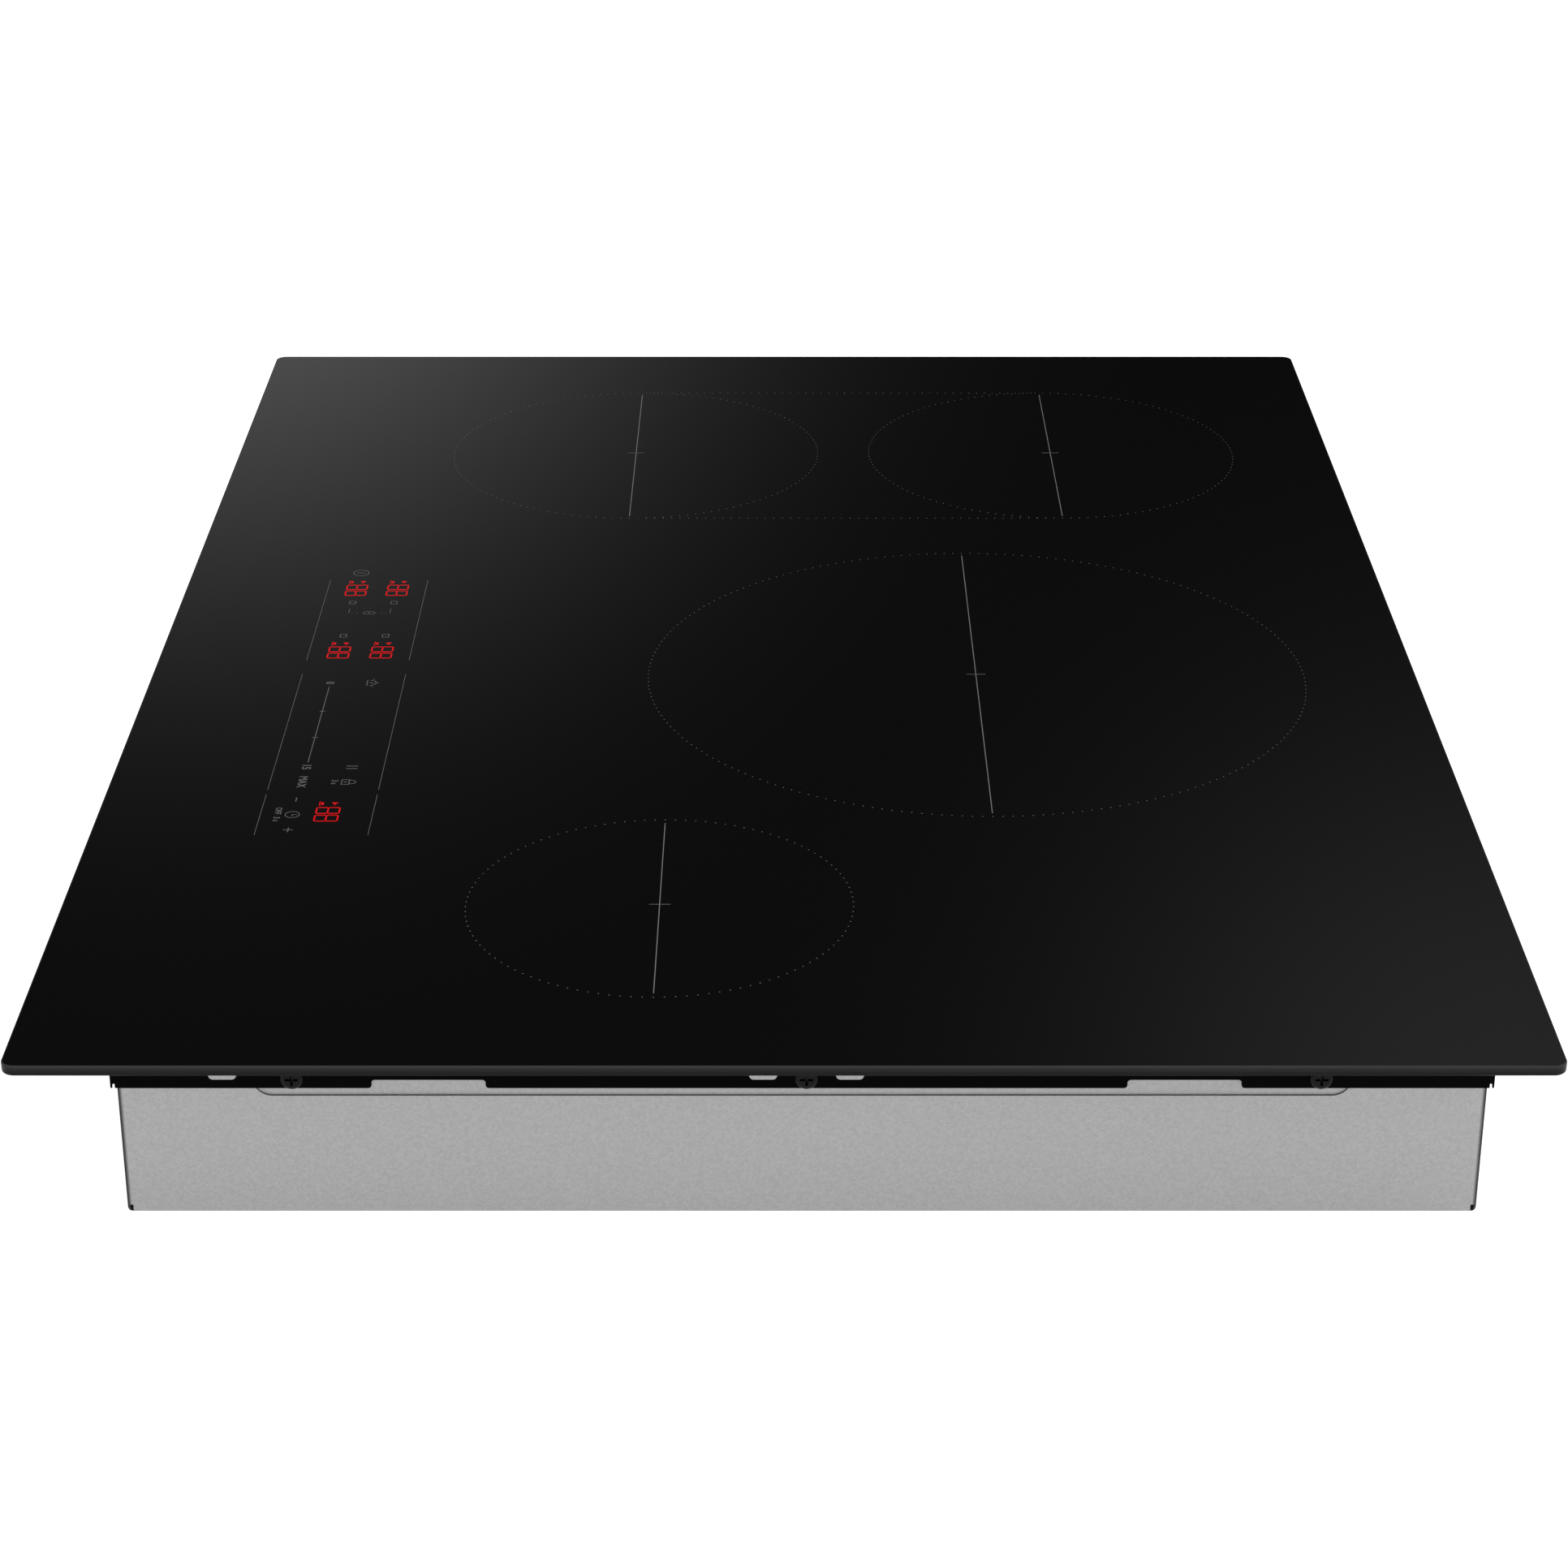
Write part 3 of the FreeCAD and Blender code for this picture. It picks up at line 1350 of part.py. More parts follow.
# ---------------------------------------------------------------- blowers
def scroll_face(offset):
    """The scroll's plan, grown outwards by an offset: three quarter arcs of rising radius, then a duct."""
    radius, step = mm("scroll_radius") + offset, mm("scroll_step")
    tongue, reach = mm("scroll_tongue") - offset, mm("scroll_reach")
    up = Vector(0, 0, 1)
    arcs = [
        Part.ArcOfCircle(Part.Circle(Vector(0, 0, 0), up, radius), math.pi, 1.5 * math.pi),
        Part.ArcOfCircle(Part.Circle(Vector(step, 0, 0), up, radius + step), math.pi / 2, math.pi),
        Part.ArcOfCircle(Part.Circle(Vector(step, -step, 0), up, radius + 2 * step), 0, math.pi / 2),
    ]
    side = radius + 3 * step
    corners = [
        Vector(side, -step, 0),
        Vector(side, -reach, 0),
        Vector(tongue, -reach, 0),
        Vector(tongue, -radius, 0),
        Vector(0, -radius, 0),
    ]
    lines = [Part.LineSegment(a, b).toShape() for a, b in zip(corners, corners[1:])]
    return Part.Face(Part.Wire(Part.__sortEdges__([a.toShape() for a in arcs] + lines)))


def extrusion(name, face, height, z="0"):
    """A face made solid upwards."""
    base = doc.addObject("Part::Feature", name + "_plan")
    base.Shape = face
    made = doc.addObject("Part::Extrusion", name)
    made.Base = base
    made.DirMode = "Custom"
    made.Dir = Vector(0, 0, 1)
    made.Solid = True
    bind(made, LengthFwd=height)
    return place(made, z=z)


def make_scroll():
    """The blower's lower shell: floor with the air inlet, and walls, open at the duct's end."""
    shell = extrusion("scroll_shell", scroll_face(mm("scroll_wall")), SCROLL_HIGH)
    channel = extrusion("scroll_channel", scroll_face(0), SCROLL_HIGH, "scroll_wall")
    inlet = cylinder("scroll_inlet_hole", "0", "0", "-1", f"{ROTOR_INNER} + inlet_margin", "scroll_wall + 2")
    made = cut("blower_housing_left", shell, [channel, inlet])
    return made


def make_rotor():
    """A forward-curved blower wheel: back plate at the top, hub cup round the motor, blades, end ring."""
    body = new_body("blower_rotor_left")
    top = f"(rotor_low + {ROTOR_HIGH})"
    plate = sketch(
        body,
        "rotor_plate_outline",
        "XY_Plane",
        [("circle", "0", "0", ROTOR_RADIUS), ("circle", "0", "0", "rotor_hub - rotor_hub_wall")],
        f"{top} - rotor_plate",
    )
    pad(body, plate, "rotor_plate", "rotor_back_plate")
    cup = sketch(
        body,
        "rotor_cup_outline",
        "XY_Plane",
        [("circle", "0", "0", "rotor_hub"), ("circle", "0", "0", "rotor_hub - rotor_hub_wall")],
        "rotor_low",
    )
    pad(body, cup, ROTOR_HIGH, "rotor_cup")
    floor = sketch(
        body,
        "rotor_floor_outline",
        "XY_Plane",
        [("circle", "0", "0", "rotor_hub"), ("circle", "0", "0", "shaft_radius + shaft_play")],
        "rotor_low",
    )
    pad(body, floor, "rotor_plate", "rotor_floor")
    boss = sketch(
        body,
        "rotor_boss_outline",
        "XY_Plane",
        [("circle", "0", "0", "rotor_boss"), ("circle", "0", "0", "shaft_radius + shaft_play")],
        "rotor_low",
    )
    pad(body, boss, "rotor_boss_high", "rotor_shaft_boss")
    # one blade leans forward from its root to its tip
    lean = ("0", "blade_lean / 3", "blade_lean")
    radii = (ROTOR_INNER, f"({ROTOR_INNER} + {ROTOR_RADIUS}) / 2", f"{ROTOR_RADIUS} - blade_inset")
    near = [(r, f"{y} - blade_thick / 2") for r, y in zip(radii, lean)]
    far = [(r, f"{y} + blade_thick / 2") for r, y in zip(radii, lean)]
    profile = sketch(body, "blade_outline", "XY_Plane", [("polygon", near + far[::-1])], "rotor_low")
    blade = pad(body, profile, f"{ROTOR_HIGH} - rotor_plate / 2", "blade")
    doc.recompute()
    polar(body, [blade], "blade_count", "blades")
    doc.recompute()
    ring = sketch(
        body,
        "rotor_ring_outline",
        "XY_Plane",
        [("circle", "0", "0", ROTOR_RADIUS), ("circle", "0", "0", f"{ROTOR_RADIUS} - rotor_ring")],
        "rotor_low",
    )
    pad(body, ring, "rotor_plate", "rotor_end_ring")
    return body


def make_motor():
    """The blower motor: a flange under the cover, the stator, and the shaft that carries the wheel."""
    flange_z = f"({SCROLL_HIGH} - motor_flange_thick)"
    flange = cylinder("motor_flange_disc", "0", "0", flange_z, "motor_flange", "motor_flange_thick")
    stator_low = "(rotor_low + stator_gap)"
    stator_high = f"{flange_z} - {stator_low}"
    stator = cylinder("motor_stator", "0", "0", stator_low, "stator_radius", stator_high)
    shaft = cylinder("motor_shaft", "0", "0", "rotor_low", "shaft_radius", f"{flange_z} - rotor_low")
    return fuse("blower_motor_left", [flange, stator, shaft])


def make_blowers():
    x, y, z = "module_left_x + blower_x", "module_y + blower_y", "case_sheet"
    right_x = "module_right_x + blower_x"
    cover = extrusion("blower_cover_left", scroll_face(mm("scroll_wall")), "scroll_wall")
    for master, lift in (
        (make_scroll(), "0"),
        (cover, SCROLL_HIGH),
        (make_rotor(), "0"),
        (make_motor(), "0"),
    ):
        place(master, x, y, f"{z} + {lift}")
        subpart(master)
        subpart(link(master.Name.replace("_left", "_right"), master, right_x, y, f"{z} + {lift}"))


# ---------------------------------------------------------------- mains filter, terminal, cable bush
FILTER_CORNERS = [
    (
        f"filter_x + {i} * (filter_width / 2 - board_hole_inset)",
        f"filter_y + {j} * (filter_length / 2 - board_hole_inset)",
    )
    for i in (-1, 1)
    for j in (-1, 1)
]


def make_filter():
    body = new_body("filter_board")
    loops = [
        (
            "rect",
            "filter_x - filter_width / 2",
            "filter_y - filter_length / 2",
            "filter_x + filter_width / 2",
            "filter_y + filter_length / 2",
        )
    ]
    loops += [("circle", x, y, "small_screw_shank + screw_play") for x, y in FILTER_CORNERS]
    pad(body, sketch(body, "filter_outline", "XY_Plane", loops, BOARD_Z), "board_thick", "filter_pad")
    subpart(body)
    chokes = []
    for number, side in enumerate((-1, 1), 1):
        x, y = f"filter_x + {side} * choke_x", "filter_y + choke_y"
        ring = doc.addObject("Part::Torus", f"choke_core_{number}")
        bind(ring, Radius1="choke_radius", Radius2="choke_section")
        place(ring, x, y, f"{BOARD_TOP} + choke_lift")
        foot = cylinder(f"choke_foot_{number}", x, y, BOARD_TOP, "choke_foot", "choke_foot_high")
        chokes.append(fuse(f"choke_{number}", [ring, foot]))
    subpart(group("filter_chokes", chokes))
    capacitors = [
        box(
            f"filter_capacitor_{n + 1}",
            "filter_x + film_x - film_length / 2",
            f"filter_y + film_first_y + {n} * film_pitch - film_width / 2",
            BOARD_TOP,
            "film_length",
            "film_width",
            "film_high",
        )
        for n in range(3)
    ]
    subpart(group("filter_capacitors", capacitors))
    relays = [
        box(
            f"relay_{n + 1}",
            f"filter_x + relay_first_x + {n} * relay_pitch - relay_length / 2",
            "filter_y + relay_y - relay_width / 2",
            BOARD_TOP,
            "relay_length",
            "relay_width",
            "relay_high",
        )
        for n in range(3)
    ]
    subpart(group("mains_relays", relays))


def make_terminal():
    """The mains terminal block, with one wire well for each pole."""
    body = new_body("terminal_block")
    low_x, low_y = "(terminal_x - terminal_width / 2)", "(terminal_y - terminal_depth / 2)"
    outline = sketch(
        body,
        "terminal_outline",
        "XY_Plane",
        [("rect", low_x, low_y, f"{low_x} + terminal_width", f"{low_y} + terminal_depth")],
        "case_sheet",
    )
    pad(body, outline, "terminal_height", "terminal_pad")
    way = "(terminal_width / terminal_ways)"
    well = sketch(
        body,
        "well_outline",
        "XY_Plane",
        [("circle", f"{low_x} + {way} / 2", "terminal_y", f"{way} * 0.32")],
        "case_sheet + terminal_height",
    )
    wells = pocket(body, well, "well", "terminal_height * 0.6")
    linear(body, [wells], "X_Axis", f"terminal_width - {way}", "terminal_ways", "wells")
    return body


def make_terminal_cover():
    """A plastic hood over the terminal block, open below."""
    grow = "(cover_gap + cover_wall)"
    low_x = f"terminal_x - terminal_width / 2 - {grow}"
    low_y = f"terminal_y - terminal_depth / 2 - {grow}"
    hood = box(
        "hood_outer",
        low_x,
        low_y,
        "case_sheet",
        f"terminal_width + 2 * {grow}",
        f"terminal_depth + 2 * {grow}",
        f"terminal_height + {grow}",
    )
    inside = box(
        "hood_inside",
        f"terminal_x - terminal_width / 2 - cover_gap",
        f"terminal_y - terminal_depth / 2 - cover_gap",
        "case_sheet - 1",
        "terminal_width + 2 * cover_gap",
        "terminal_depth + 2 * cover_gap",
        "terminal_height + cover_gap + 1",
    )
    return cut("terminal_cover", hood, [inside])


def make_bush():
    """The plastic bush that lines the cable inlet in the rear wall."""
    wall_y = f"(body_shift + {CASE_HALF_Y})"
    sleeve_radius = "bush_bore + bush_wall"
    sleeve = cylinder(
        "bush_sleeve",
        "inlet_x",
        f"{wall_y} - case_sheet - bush_inside",
        "inlet_z",
        sleeve_radius,
        "case_sheet + bush_inside",
        NORTH,
    )
    flange = cylinder("bush_rim", "inlet_x", wall_y, "inlet_z", "bush_flange", "bush_flange_thick", NORTH)
    bore = cylinder(
        "bush_hole",
        "inlet_x",
        f"{wall_y} - case_sheet - bush_inside - 1",
        "inlet_z",
        "bush_bore",
        "case_sheet + bush_inside + bush_flange_thick + 2",
        NORTH,
    )
    return cut("cable_bush", fuse("bush_body", [sleeve, flange]), [bore])


# ---------------------------------------------------------------- touch panel
def make_panel():
    """The touch unit under the glass: carrier, board, displays, touch pads and ribbon cable."""
    wall, low_z = "panel_wall", f"({PANEL_BOARD_TOP} + panel_above_board - panel_depth)"
    carrier = new_body("panel_carrier")
    outer = ("rect", "panel_low_x", "panel_low_y", "panel_high_x", "panel_high_y")
    inner = (
        "rect",
        f"panel_low_x + {wall}",
        f"panel_low_y + {wall}",
        f"panel_high_x - {wall}",
        f"panel_high_y - {wall}",
    )
    ledge = (
        "rect",
        f"panel_low_x + {wall} + panel_ledge",
        f"panel_low_y + {wall} + panel_ledge",
        f"panel_high_x - {wall} - panel_ledge",
        f"panel_high_y - {wall} - panel_ledge",
    )
    walls = sketch(carrier, "carrier_wall_outline", "XY_Plane", [outer, inner], low_z)
    pad(carrier, walls, "panel_depth", "carrier_walls")
    shelf = sketch(carrier, "carrier_ledge_outline", "XY_Plane", [outer, ledge], low_z)
    pad(carrier, shelf, f"{PANEL_BOARD_Z} - {low_z}", "carrier_ledge")
    inset = "(panel_wall + panel_leg)"
    legs = sketch(
        carrier,
        "carrier_leg_outlines",
        "XY_Plane",
        [
            ("circle", x, y, "panel_leg")
            for x in (f"panel_low_x + {inset}", "panel_leg_high_x")
            for y in (f"panel_low_y + {inset}", f"panel_high_y - {inset}")
        ],
        "case_sheet",
    )
    pad(carrier, legs, f"{low_z} - case_sheet + 1", "carrier_legs")
    subpart(carrier)

    play = "panel_board_play"
    board = box(
        "panel_board",
        f"panel_low_x + {wall} + {play}",
        f"panel_low_y + {wall} + {play}",
        PANEL_BOARD_Z,
        f"panel_high_x - panel_low_x - 2 * ({wall} + {play})",
        f"panel_high_y - panel_low_y - 2 * ({wall} + {play})",
        "board_thick",
    )
    subpart(board)

    places = [
        (x, y)
        for x in ("left_displays_x", "right_displays_x")
        for y in ("rear_displays_y", "front_displays_y")
    ]
    places.append(("timer_display_x", "timer_display_y"))
    displays = [
        box(
            f"display_{n}",
            f"{x} - display_width / 2",
            f"{y} - display_depth / 2",
            PANEL_BOARD_TOP,
            "display_width",
            "display_depth",
            "display_high",
        )
        for n, (x, y) in enumerate(places, 1)
    ]
    subpart(group("led_displays", displays))

    keys = [
        ("power_key_x", "front_keys_y"),
        ("bridge_key_x", "bridge_key_y"),
        ("warm_key_x", "rear_keys_y"),
        ("pause_key_x", "rear_keys_y"),
        ("lock_key_x", "rear_keys_y"),
        ("lock_key_x", "front_keys_y"),
        ("minus_key_x", "front_keys_y"),
        ("clock_key_x", "clock_key_y"),
        ("plus_key_x", "front_keys_y"),
    ]
    pads = SIZES["slider_pads"]
    keys += [
        (f"slider_low_x + (slider_high_x - slider_low_x) * {k} / {pads - 1}", "front_keys_y")
        for k in range(pads)
    ]
    touch = [
        cylinder(f"touch_pad_{n}", x, y, PANEL_BOARD_TOP, "touch_pad_radius", "display_high")
        for n, (x, y) in enumerate(keys, 1)
    ]
    subpart(group("touch_pads", touch))
    subpart(make_ribbon())


def make_ribbon():
    """A flat cable from the touch board down to the left power board."""
    made = doc.addObject("Part::Feature", "ribbon_cable")
    top, middle, low = mm(PANEL_BOARD_Z), mm("ribbon_mid_z"), mm(f"{BOARD_TOP} + connector_high")
    start_x, end_x = mm("ribbon_x"), mm("ribbon_board_x")
    width, thick = mm("ribbon_width"), mm("ribbon_thick")
    bend = mm("ribbon_bend")
    y = mm("ribbon_y") - width / 2

    def side(offset):
        """One face of the cable: down, a bend, across, a bend, down."""
        x0, x1 = start_x + offset, end_x + offset
        z = middle - offset
        r0, r1 = bend + offset, bend - offset
        turn = math.sqrt(0.5)
        first, second = Vector(x0, y, z + r0), Vector(x0 - r0, y, z)
        mid = Vector(x0 - r0 + r0 * turn, y, z + r0 - r0 * turn)
        third, fourth = Vector(x1 + r1, y, z), Vector(x1, y, z - r1)
        mid_two = Vector(x1 + r1 - r1 * turn, y, z - r1 + r1 * turn)
        return [
            Part.LineSegment(Vector(x0, y, top), first).toShape(),
            Part.Arc(first, mid, second).toShape(),
            Part.LineSegment(second, third).toShape(),
            Part.Arc(third, mid_two, fourth).toShape(),
            Part.LineSegment(fourth, Vector(x1, y, low)).toShape(),
        ]

    near, far = side(-thick / 2), side(thick / 2)
    ends = [
        Part.LineSegment(near[0].Vertexes[0].Point, far[0].Vertexes[0].Point).toShape(),
        Part.LineSegment(near[-1].Vertexes[-1].Point, far[-1].Vertexes[-1].Point).toShape(),
    ]
    outline = Part.Wire(Part.__sortEdges__(near + far + ends))
    made.Shape = Part.Face(outline).extrude(Vector(0, width, 0))
    return made


def make_leads():
    """Two insulated leads from each coil, down through the plate and across to its power board."""
    made = doc.addObject("Part::Feature", "coil_leads")
    run_z = mm(LEAD_RUN_Z)
    start_z = mm(f"{WIRE_Z} + wire_height / 2")
    lug_top = mm(f"{BOARD_TOP} + lug_high")
    radius, offset = mm("lead_radius"), mm("lead_offset")
    meet = mm("coil_inner - wire_width / 2 - lead_end_play")
    tubes = []
    # zone, module, then the lug for the lead on the right of the coil's centre and on its left
    for zone, module_x, lugs in (
        ("front_left", "module_left_x", FIRST_COIL_LUGS),
        ("rear_left", "module_left_x", SECOND_COIL_LUGS),
        ("right", "module_right_x", FIRST_COIL_LUGS),
        ("centre", "module_right_x", SECOND_COIL_LUGS[::-1]),
    ):
        x, y = mm(ZONES[zone][0]), mm(ZONES[zone][1])
        for sign, lug in zip((1, -1), lugs):
            lug_x, lug_y = mm(f"{module_x} + lug_x"), mm(f"module_y + {lug} * lug_pitch")
            points = [
                (x + sign * meet, y, start_z),
                (x + sign * offset, y, start_z),
                (x + sign * offset, y, run_z),
                (lug_x, lug_y, run_z),
                (lug_x, lug_y, lug_top),
            ]
            tubes.append(route(points, radius, mm("lead_bend")))
    made.Shape = Part.Compound(tubes)
    return made


# ---------------------------------------------------------------- the whole cooktop
subpart(make_glass())
subpart(make_gasket())
subpart(make_adhesive())
subpart(make_frame())
subpart(make_case())
frame_screw = make_screw(
    "frame_screw", "frame_screw_shank", "frame_screw_head", "frame_screw_head_high", "frame_screw_length"
)
small_screw = make_screw(
    "small_screw", "small_screw_shank", "small_screw_head", "small_screw_head_high", "small_screw_length"
)
subpart(make_frame_screws(frame_screw))
make_coils()
subpart(make_plate("left"))
subpart(make_plate("right"))
make_pillars_and_screws(small_screw)
make_module_pieces(small_screw)
make_blowers()
make_filter()
subpart(make_terminal())
subpart(make_terminal_cover())
subpart(make_bush())
make_panel()
subpart(make_leads())
doc.recompute()

# ---------------------------------------------------------------- checks and files
for obj in doc.Objects:
    if "Invalid" in obj.State or "Error" in obj.State:
        raise RuntimeError(f"{obj.Label} failed: {obj.State}")

os.makedirs("parts", exist_ok=True)
for obj in subparts:
    shape = Part.getShape(obj)
    if shape.isNull() or not shape.isValid() or not shape.Solids:
        raise RuntimeError(f"{obj.Label} has no valid solid")
    shape.exportStep(f"parts/{obj.Label}.step")
    print(f"{obj.Label}: {len(shape.Solids)} solid(s), {shape.Volume / 1000:.1f} cm3")
print(len(subparts), "pieces")
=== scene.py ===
import math

import bmesh
import bpy
import numpy as np
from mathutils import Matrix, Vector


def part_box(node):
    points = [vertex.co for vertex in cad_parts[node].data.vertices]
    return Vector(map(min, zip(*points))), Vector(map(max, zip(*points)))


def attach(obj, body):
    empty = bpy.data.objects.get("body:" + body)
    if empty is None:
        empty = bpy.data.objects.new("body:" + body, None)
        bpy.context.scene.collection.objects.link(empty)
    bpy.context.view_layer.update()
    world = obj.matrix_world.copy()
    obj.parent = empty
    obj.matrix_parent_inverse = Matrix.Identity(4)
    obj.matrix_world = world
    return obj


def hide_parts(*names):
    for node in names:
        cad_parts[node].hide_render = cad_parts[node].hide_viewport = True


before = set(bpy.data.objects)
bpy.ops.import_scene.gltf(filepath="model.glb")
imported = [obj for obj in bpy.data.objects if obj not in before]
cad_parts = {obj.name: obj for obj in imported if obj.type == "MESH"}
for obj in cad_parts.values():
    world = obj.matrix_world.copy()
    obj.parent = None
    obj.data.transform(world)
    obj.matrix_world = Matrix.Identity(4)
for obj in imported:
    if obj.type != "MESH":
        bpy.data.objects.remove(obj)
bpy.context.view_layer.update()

bl_info = {
    "name": "Built-in induction cooktop",
    "version": (1, 0, 0),
    "blender": (4, 5, 0),
    "location": "3D View > Sidebar > Cooktop",
    "description": "Glass, print, displays and finishes of a built-in induction cooktop",
    "category": "Object",
}

MM = 0.001
GLASS_LOW, GLASS_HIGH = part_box("glass_top")
# The touch unit sits under the printed panel, so the panel is laid out from its corner.
PANEL_X, PANEL_Y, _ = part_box("panel_carrier")[0]
# Play between the touch unit and the print, along X and Y.
PRINT_SHIFT = (0.4 * MM, 0.6 * MM)
# The printed ring of a zone runs this far outside its insulating disc.
RING_MARGIN = 3.4 * MM
# How wide the painted shade on the case's bent upright corners is, and how far its locating
# tabs stand out from its walls.
CORNER_SHADE_WIDTH, TAB_REACH = 2 * MM, 2.1 * MM
# Printed ink starts this far inside the glass, so that no gap shows under it.
INK_SINK = 0.02 * MM
# A zone's line stops this far inside its ring. Its centre mark's arms are this long, and
# this share of the line's width.
LINE_SHORT, MARK_ARM, MARK_SHARE = 3 * MM, 4 * MM, 0.7
# The two signs before a pair of figures: how far to its left they stand, and how far
# above its middle the upper one and below it the lower one.
SIGN_BACK, PLAY_UP, PAN_DOWN = 9.7 * MM, 2.1 * MM, 3 * MM
# The gap between two bars of a figure, at each pointed end.
BAR_GAP = 0.12 * MM
# How bright the dark room is where it has no glow.
DARK_ROOM = 0.001
# The floor's half width and its play under the case, and the overhead light's size and
# height, in metres.
FLOOR_REACH, FLOOR_PLAY, SOFT_SIZE, SOFT_HEIGHT = 30.0, 0.5 * MM, 3.0, 3.0
ZONES = ("front_left", "rear_left", "centre", "right")


def linear(code):
    """An sRGB hex code as linear red, green and blue."""
    part = np.array([int(code[i : i + 2], 16) for i in (1, 3, 5)]) / 255
    low, high = part / 12.92, ((part + 0.055) / 1.055) ** 2.4
    return tuple(np.where(part <= 0.04045, low, high).tolist())


# ---------------------------------------------------------------- settings


class CooktopGlassSettings(bpy.types.PropertyGroup):
    """Sizes and tone of the ceramic glass plate."""

    corner: bpy.props.FloatProperty(
        name="Corner radius",
        description="Radius of the plate's four corners seen from above",
        default=5 * MM, min=2 * MM, unit="LENGTH",
    )
    top_round: bpy.props.FloatProperty(
        name="Upper edge",
        description="Radius ground on the upper edge",
        default=0.5 * MM, min=0.1 * MM, unit="LENGTH",
    )
    under_round: bpy.props.FloatProperty(
        name="Lower edge",
        description="Radius ground on the lower edge",
        default=0.8 * MM, min=0.1 * MM, unit="LENGTH",
    )
    tone: bpy.props.FloatVectorProperty(
        name="Glass colour",
        description="Body colour of the black ceramic glass",
        default=linear("#0a0a0b"), size=3, min=0, max=1, subtype="COLOR",
    )
    polish: bpy.props.FloatProperty(
        name="Roughness",
        description="Roughness of the fire-polished face",
        default=0.03, min=0, max=1, subtype="FACTOR",
    )


class CooktopPrintSettings(bpy.types.PropertyGroup):
    """Sizes and colour of the enamel print on the glass."""

    dot: bpy.props.FloatProperty(
        name="Dot size",
        description="Diameter of a printed dot",
        default=0.47 * MM, min=0.1 * MM, unit="LENGTH",
    )
    pitch: bpy.props.FloatProperty(
        name="Dot pitch",
        description="Distance between two dots of a ring",
        default=4 * MM, min=1 * MM, unit="LENGTH",
    )
    line: bpy.props.FloatProperty(
        name="Line width",
        description="Width of a zone's printed lines",
        default=0.33 * MM, min=0.1 * MM, unit="LENGTH",
    )
    ink_height: bpy.props.FloatProperty(
        name="Ink height",
        description="How far the fired enamel stands above the glass",
        default=0.04 * MM, min=0.01 * MM, unit="LENGTH",
    )
    ink: bpy.props.FloatVectorProperty(
        name="Zone ink",
        description="Colour of the grey enamel of the cooking zones",
        default=linear("#686868"), size=3, min=0, max=1, subtype="COLOR",
    )
    panel_ink: bpy.props.FloatVectorProperty(
        name="Panel ink",
        description="Colour of the darker enamel of the control panel",
        default=linear("#595959"), size=3, min=0, max=1, subtype="COLOR",
    )
    stroke: bpy.props.FloatProperty(
        name="Symbol stroke",
        description="Width of the strokes of the panel's symbols",
        default=0.34 * MM, min=0.1 * MM, unit="LENGTH",
    )
    rule: bpy.props.FloatProperty(
        name="Panel rule",
        description="Width of the long lines round the panel",
        default=0.21 * MM, min=0.05 * MM, unit="LENGTH",
    )


class CooktopDisplaySettings(bpy.types.PropertyGroup):
    """Sizes and colour of the lit figures and signs."""

    height: bpy.props.FloatProperty(
        name="Figure height",
        description="Height of a lit figure",
        default=9.7 * MM, min=2 * MM, unit="LENGTH",
    )
    width: bpy.props.FloatProperty(
        name="Figure width",
        description="Width of a lit figure",
        default=5.95 * MM, min=1 * MM, unit="LENGTH",
    )
    stroke: bpy.props.FloatProperty(
        name="Bar width",
        description="Width of one lit bar",
        default=0.64 * MM, min=0.2 * MM, unit="LENGTH",
    )
    step: bpy.props.FloatProperty(
        name="Figure spacing",
        description="Distance between the middles of the two figures",
        default=6.95 * MM, min=2 * MM, unit="LENGTH",
    )
    glow: bpy.props.FloatVectorProperty(
        name="Light colour",
        description="Colour of the light through the glass",
        default=linear("#d80e14"), size=3, min=0, max=1, subtype="COLOR",
    )
    power: bpy.props.FloatProperty(
        name="Brightness",
        description="Brightness of the lit bars",
        default=1.0, min=0,
    )


class CooktopStudioSettings(bpy.types.PropertyGroup):
    """Camera, floor and light."""

    distance: bpy.props.FloatProperty(
        name="Camera distance",
        description="Distance of the camera along the cooktop's length",
        default=1.468, min=0.5, unit="LENGTH",
    )
    height: bpy.props.FloatProperty(
        name="Camera height",
        description="Height of the camera above the floor",
        default=0.6914, min=0.1, unit="LENGTH",
    )
    pitch: bpy.props.FloatProperty(
        name="Camera pitch",
        description="How far the camera looks below the horizon",
        default=math.radians(25.249), subtype="ANGLE",
    )
    lens: bpy.props.FloatProperty(
        name="Focal length",
        description="Focal length of the lens, in millimetres",
        default=83.39, min=10, subtype="DISTANCE_CAMERA",
    )
    floor_tone: bpy.props.FloatVectorProperty(
        name="Floor colour",
        description="Colour of the plain floor",
        default=linear("#a8a8a8"), size=3, min=0, max=1, subtype="COLOR",
    )
    table: bpy.props.FloatProperty(
        name="Table light",
        description="Brightness of the floor's own even light",
        default=0.95, min=0,
    )
    ambient: bpy.props.FloatProperty(
        name="Room light",
        description="Brightness of the even light from all round",
        default=1.0, min=0,
    )
    side_light: bpy.props.FloatProperty(
        name="Side light",
        description="How much of the even light comes from the rear side instead of the front",
        default=0.9, min=0, max=1, subtype="FACTOR",
    )
    overhead: bpy.props.FloatProperty(
        name="Overhead light",
        description="Power of the large soft light above",
        default=45, min=0, unit="POWER",
    )


SETTINGS = {
    "cooktop_glass": CooktopGlassSettings,
    "cooktop_print": CooktopPrintSettings,
    "cooktop_display": CooktopDisplaySettings,
    "cooktop_studio": CooktopStudioSettings,
}


# ---------------------------------------------------------------- surfaces


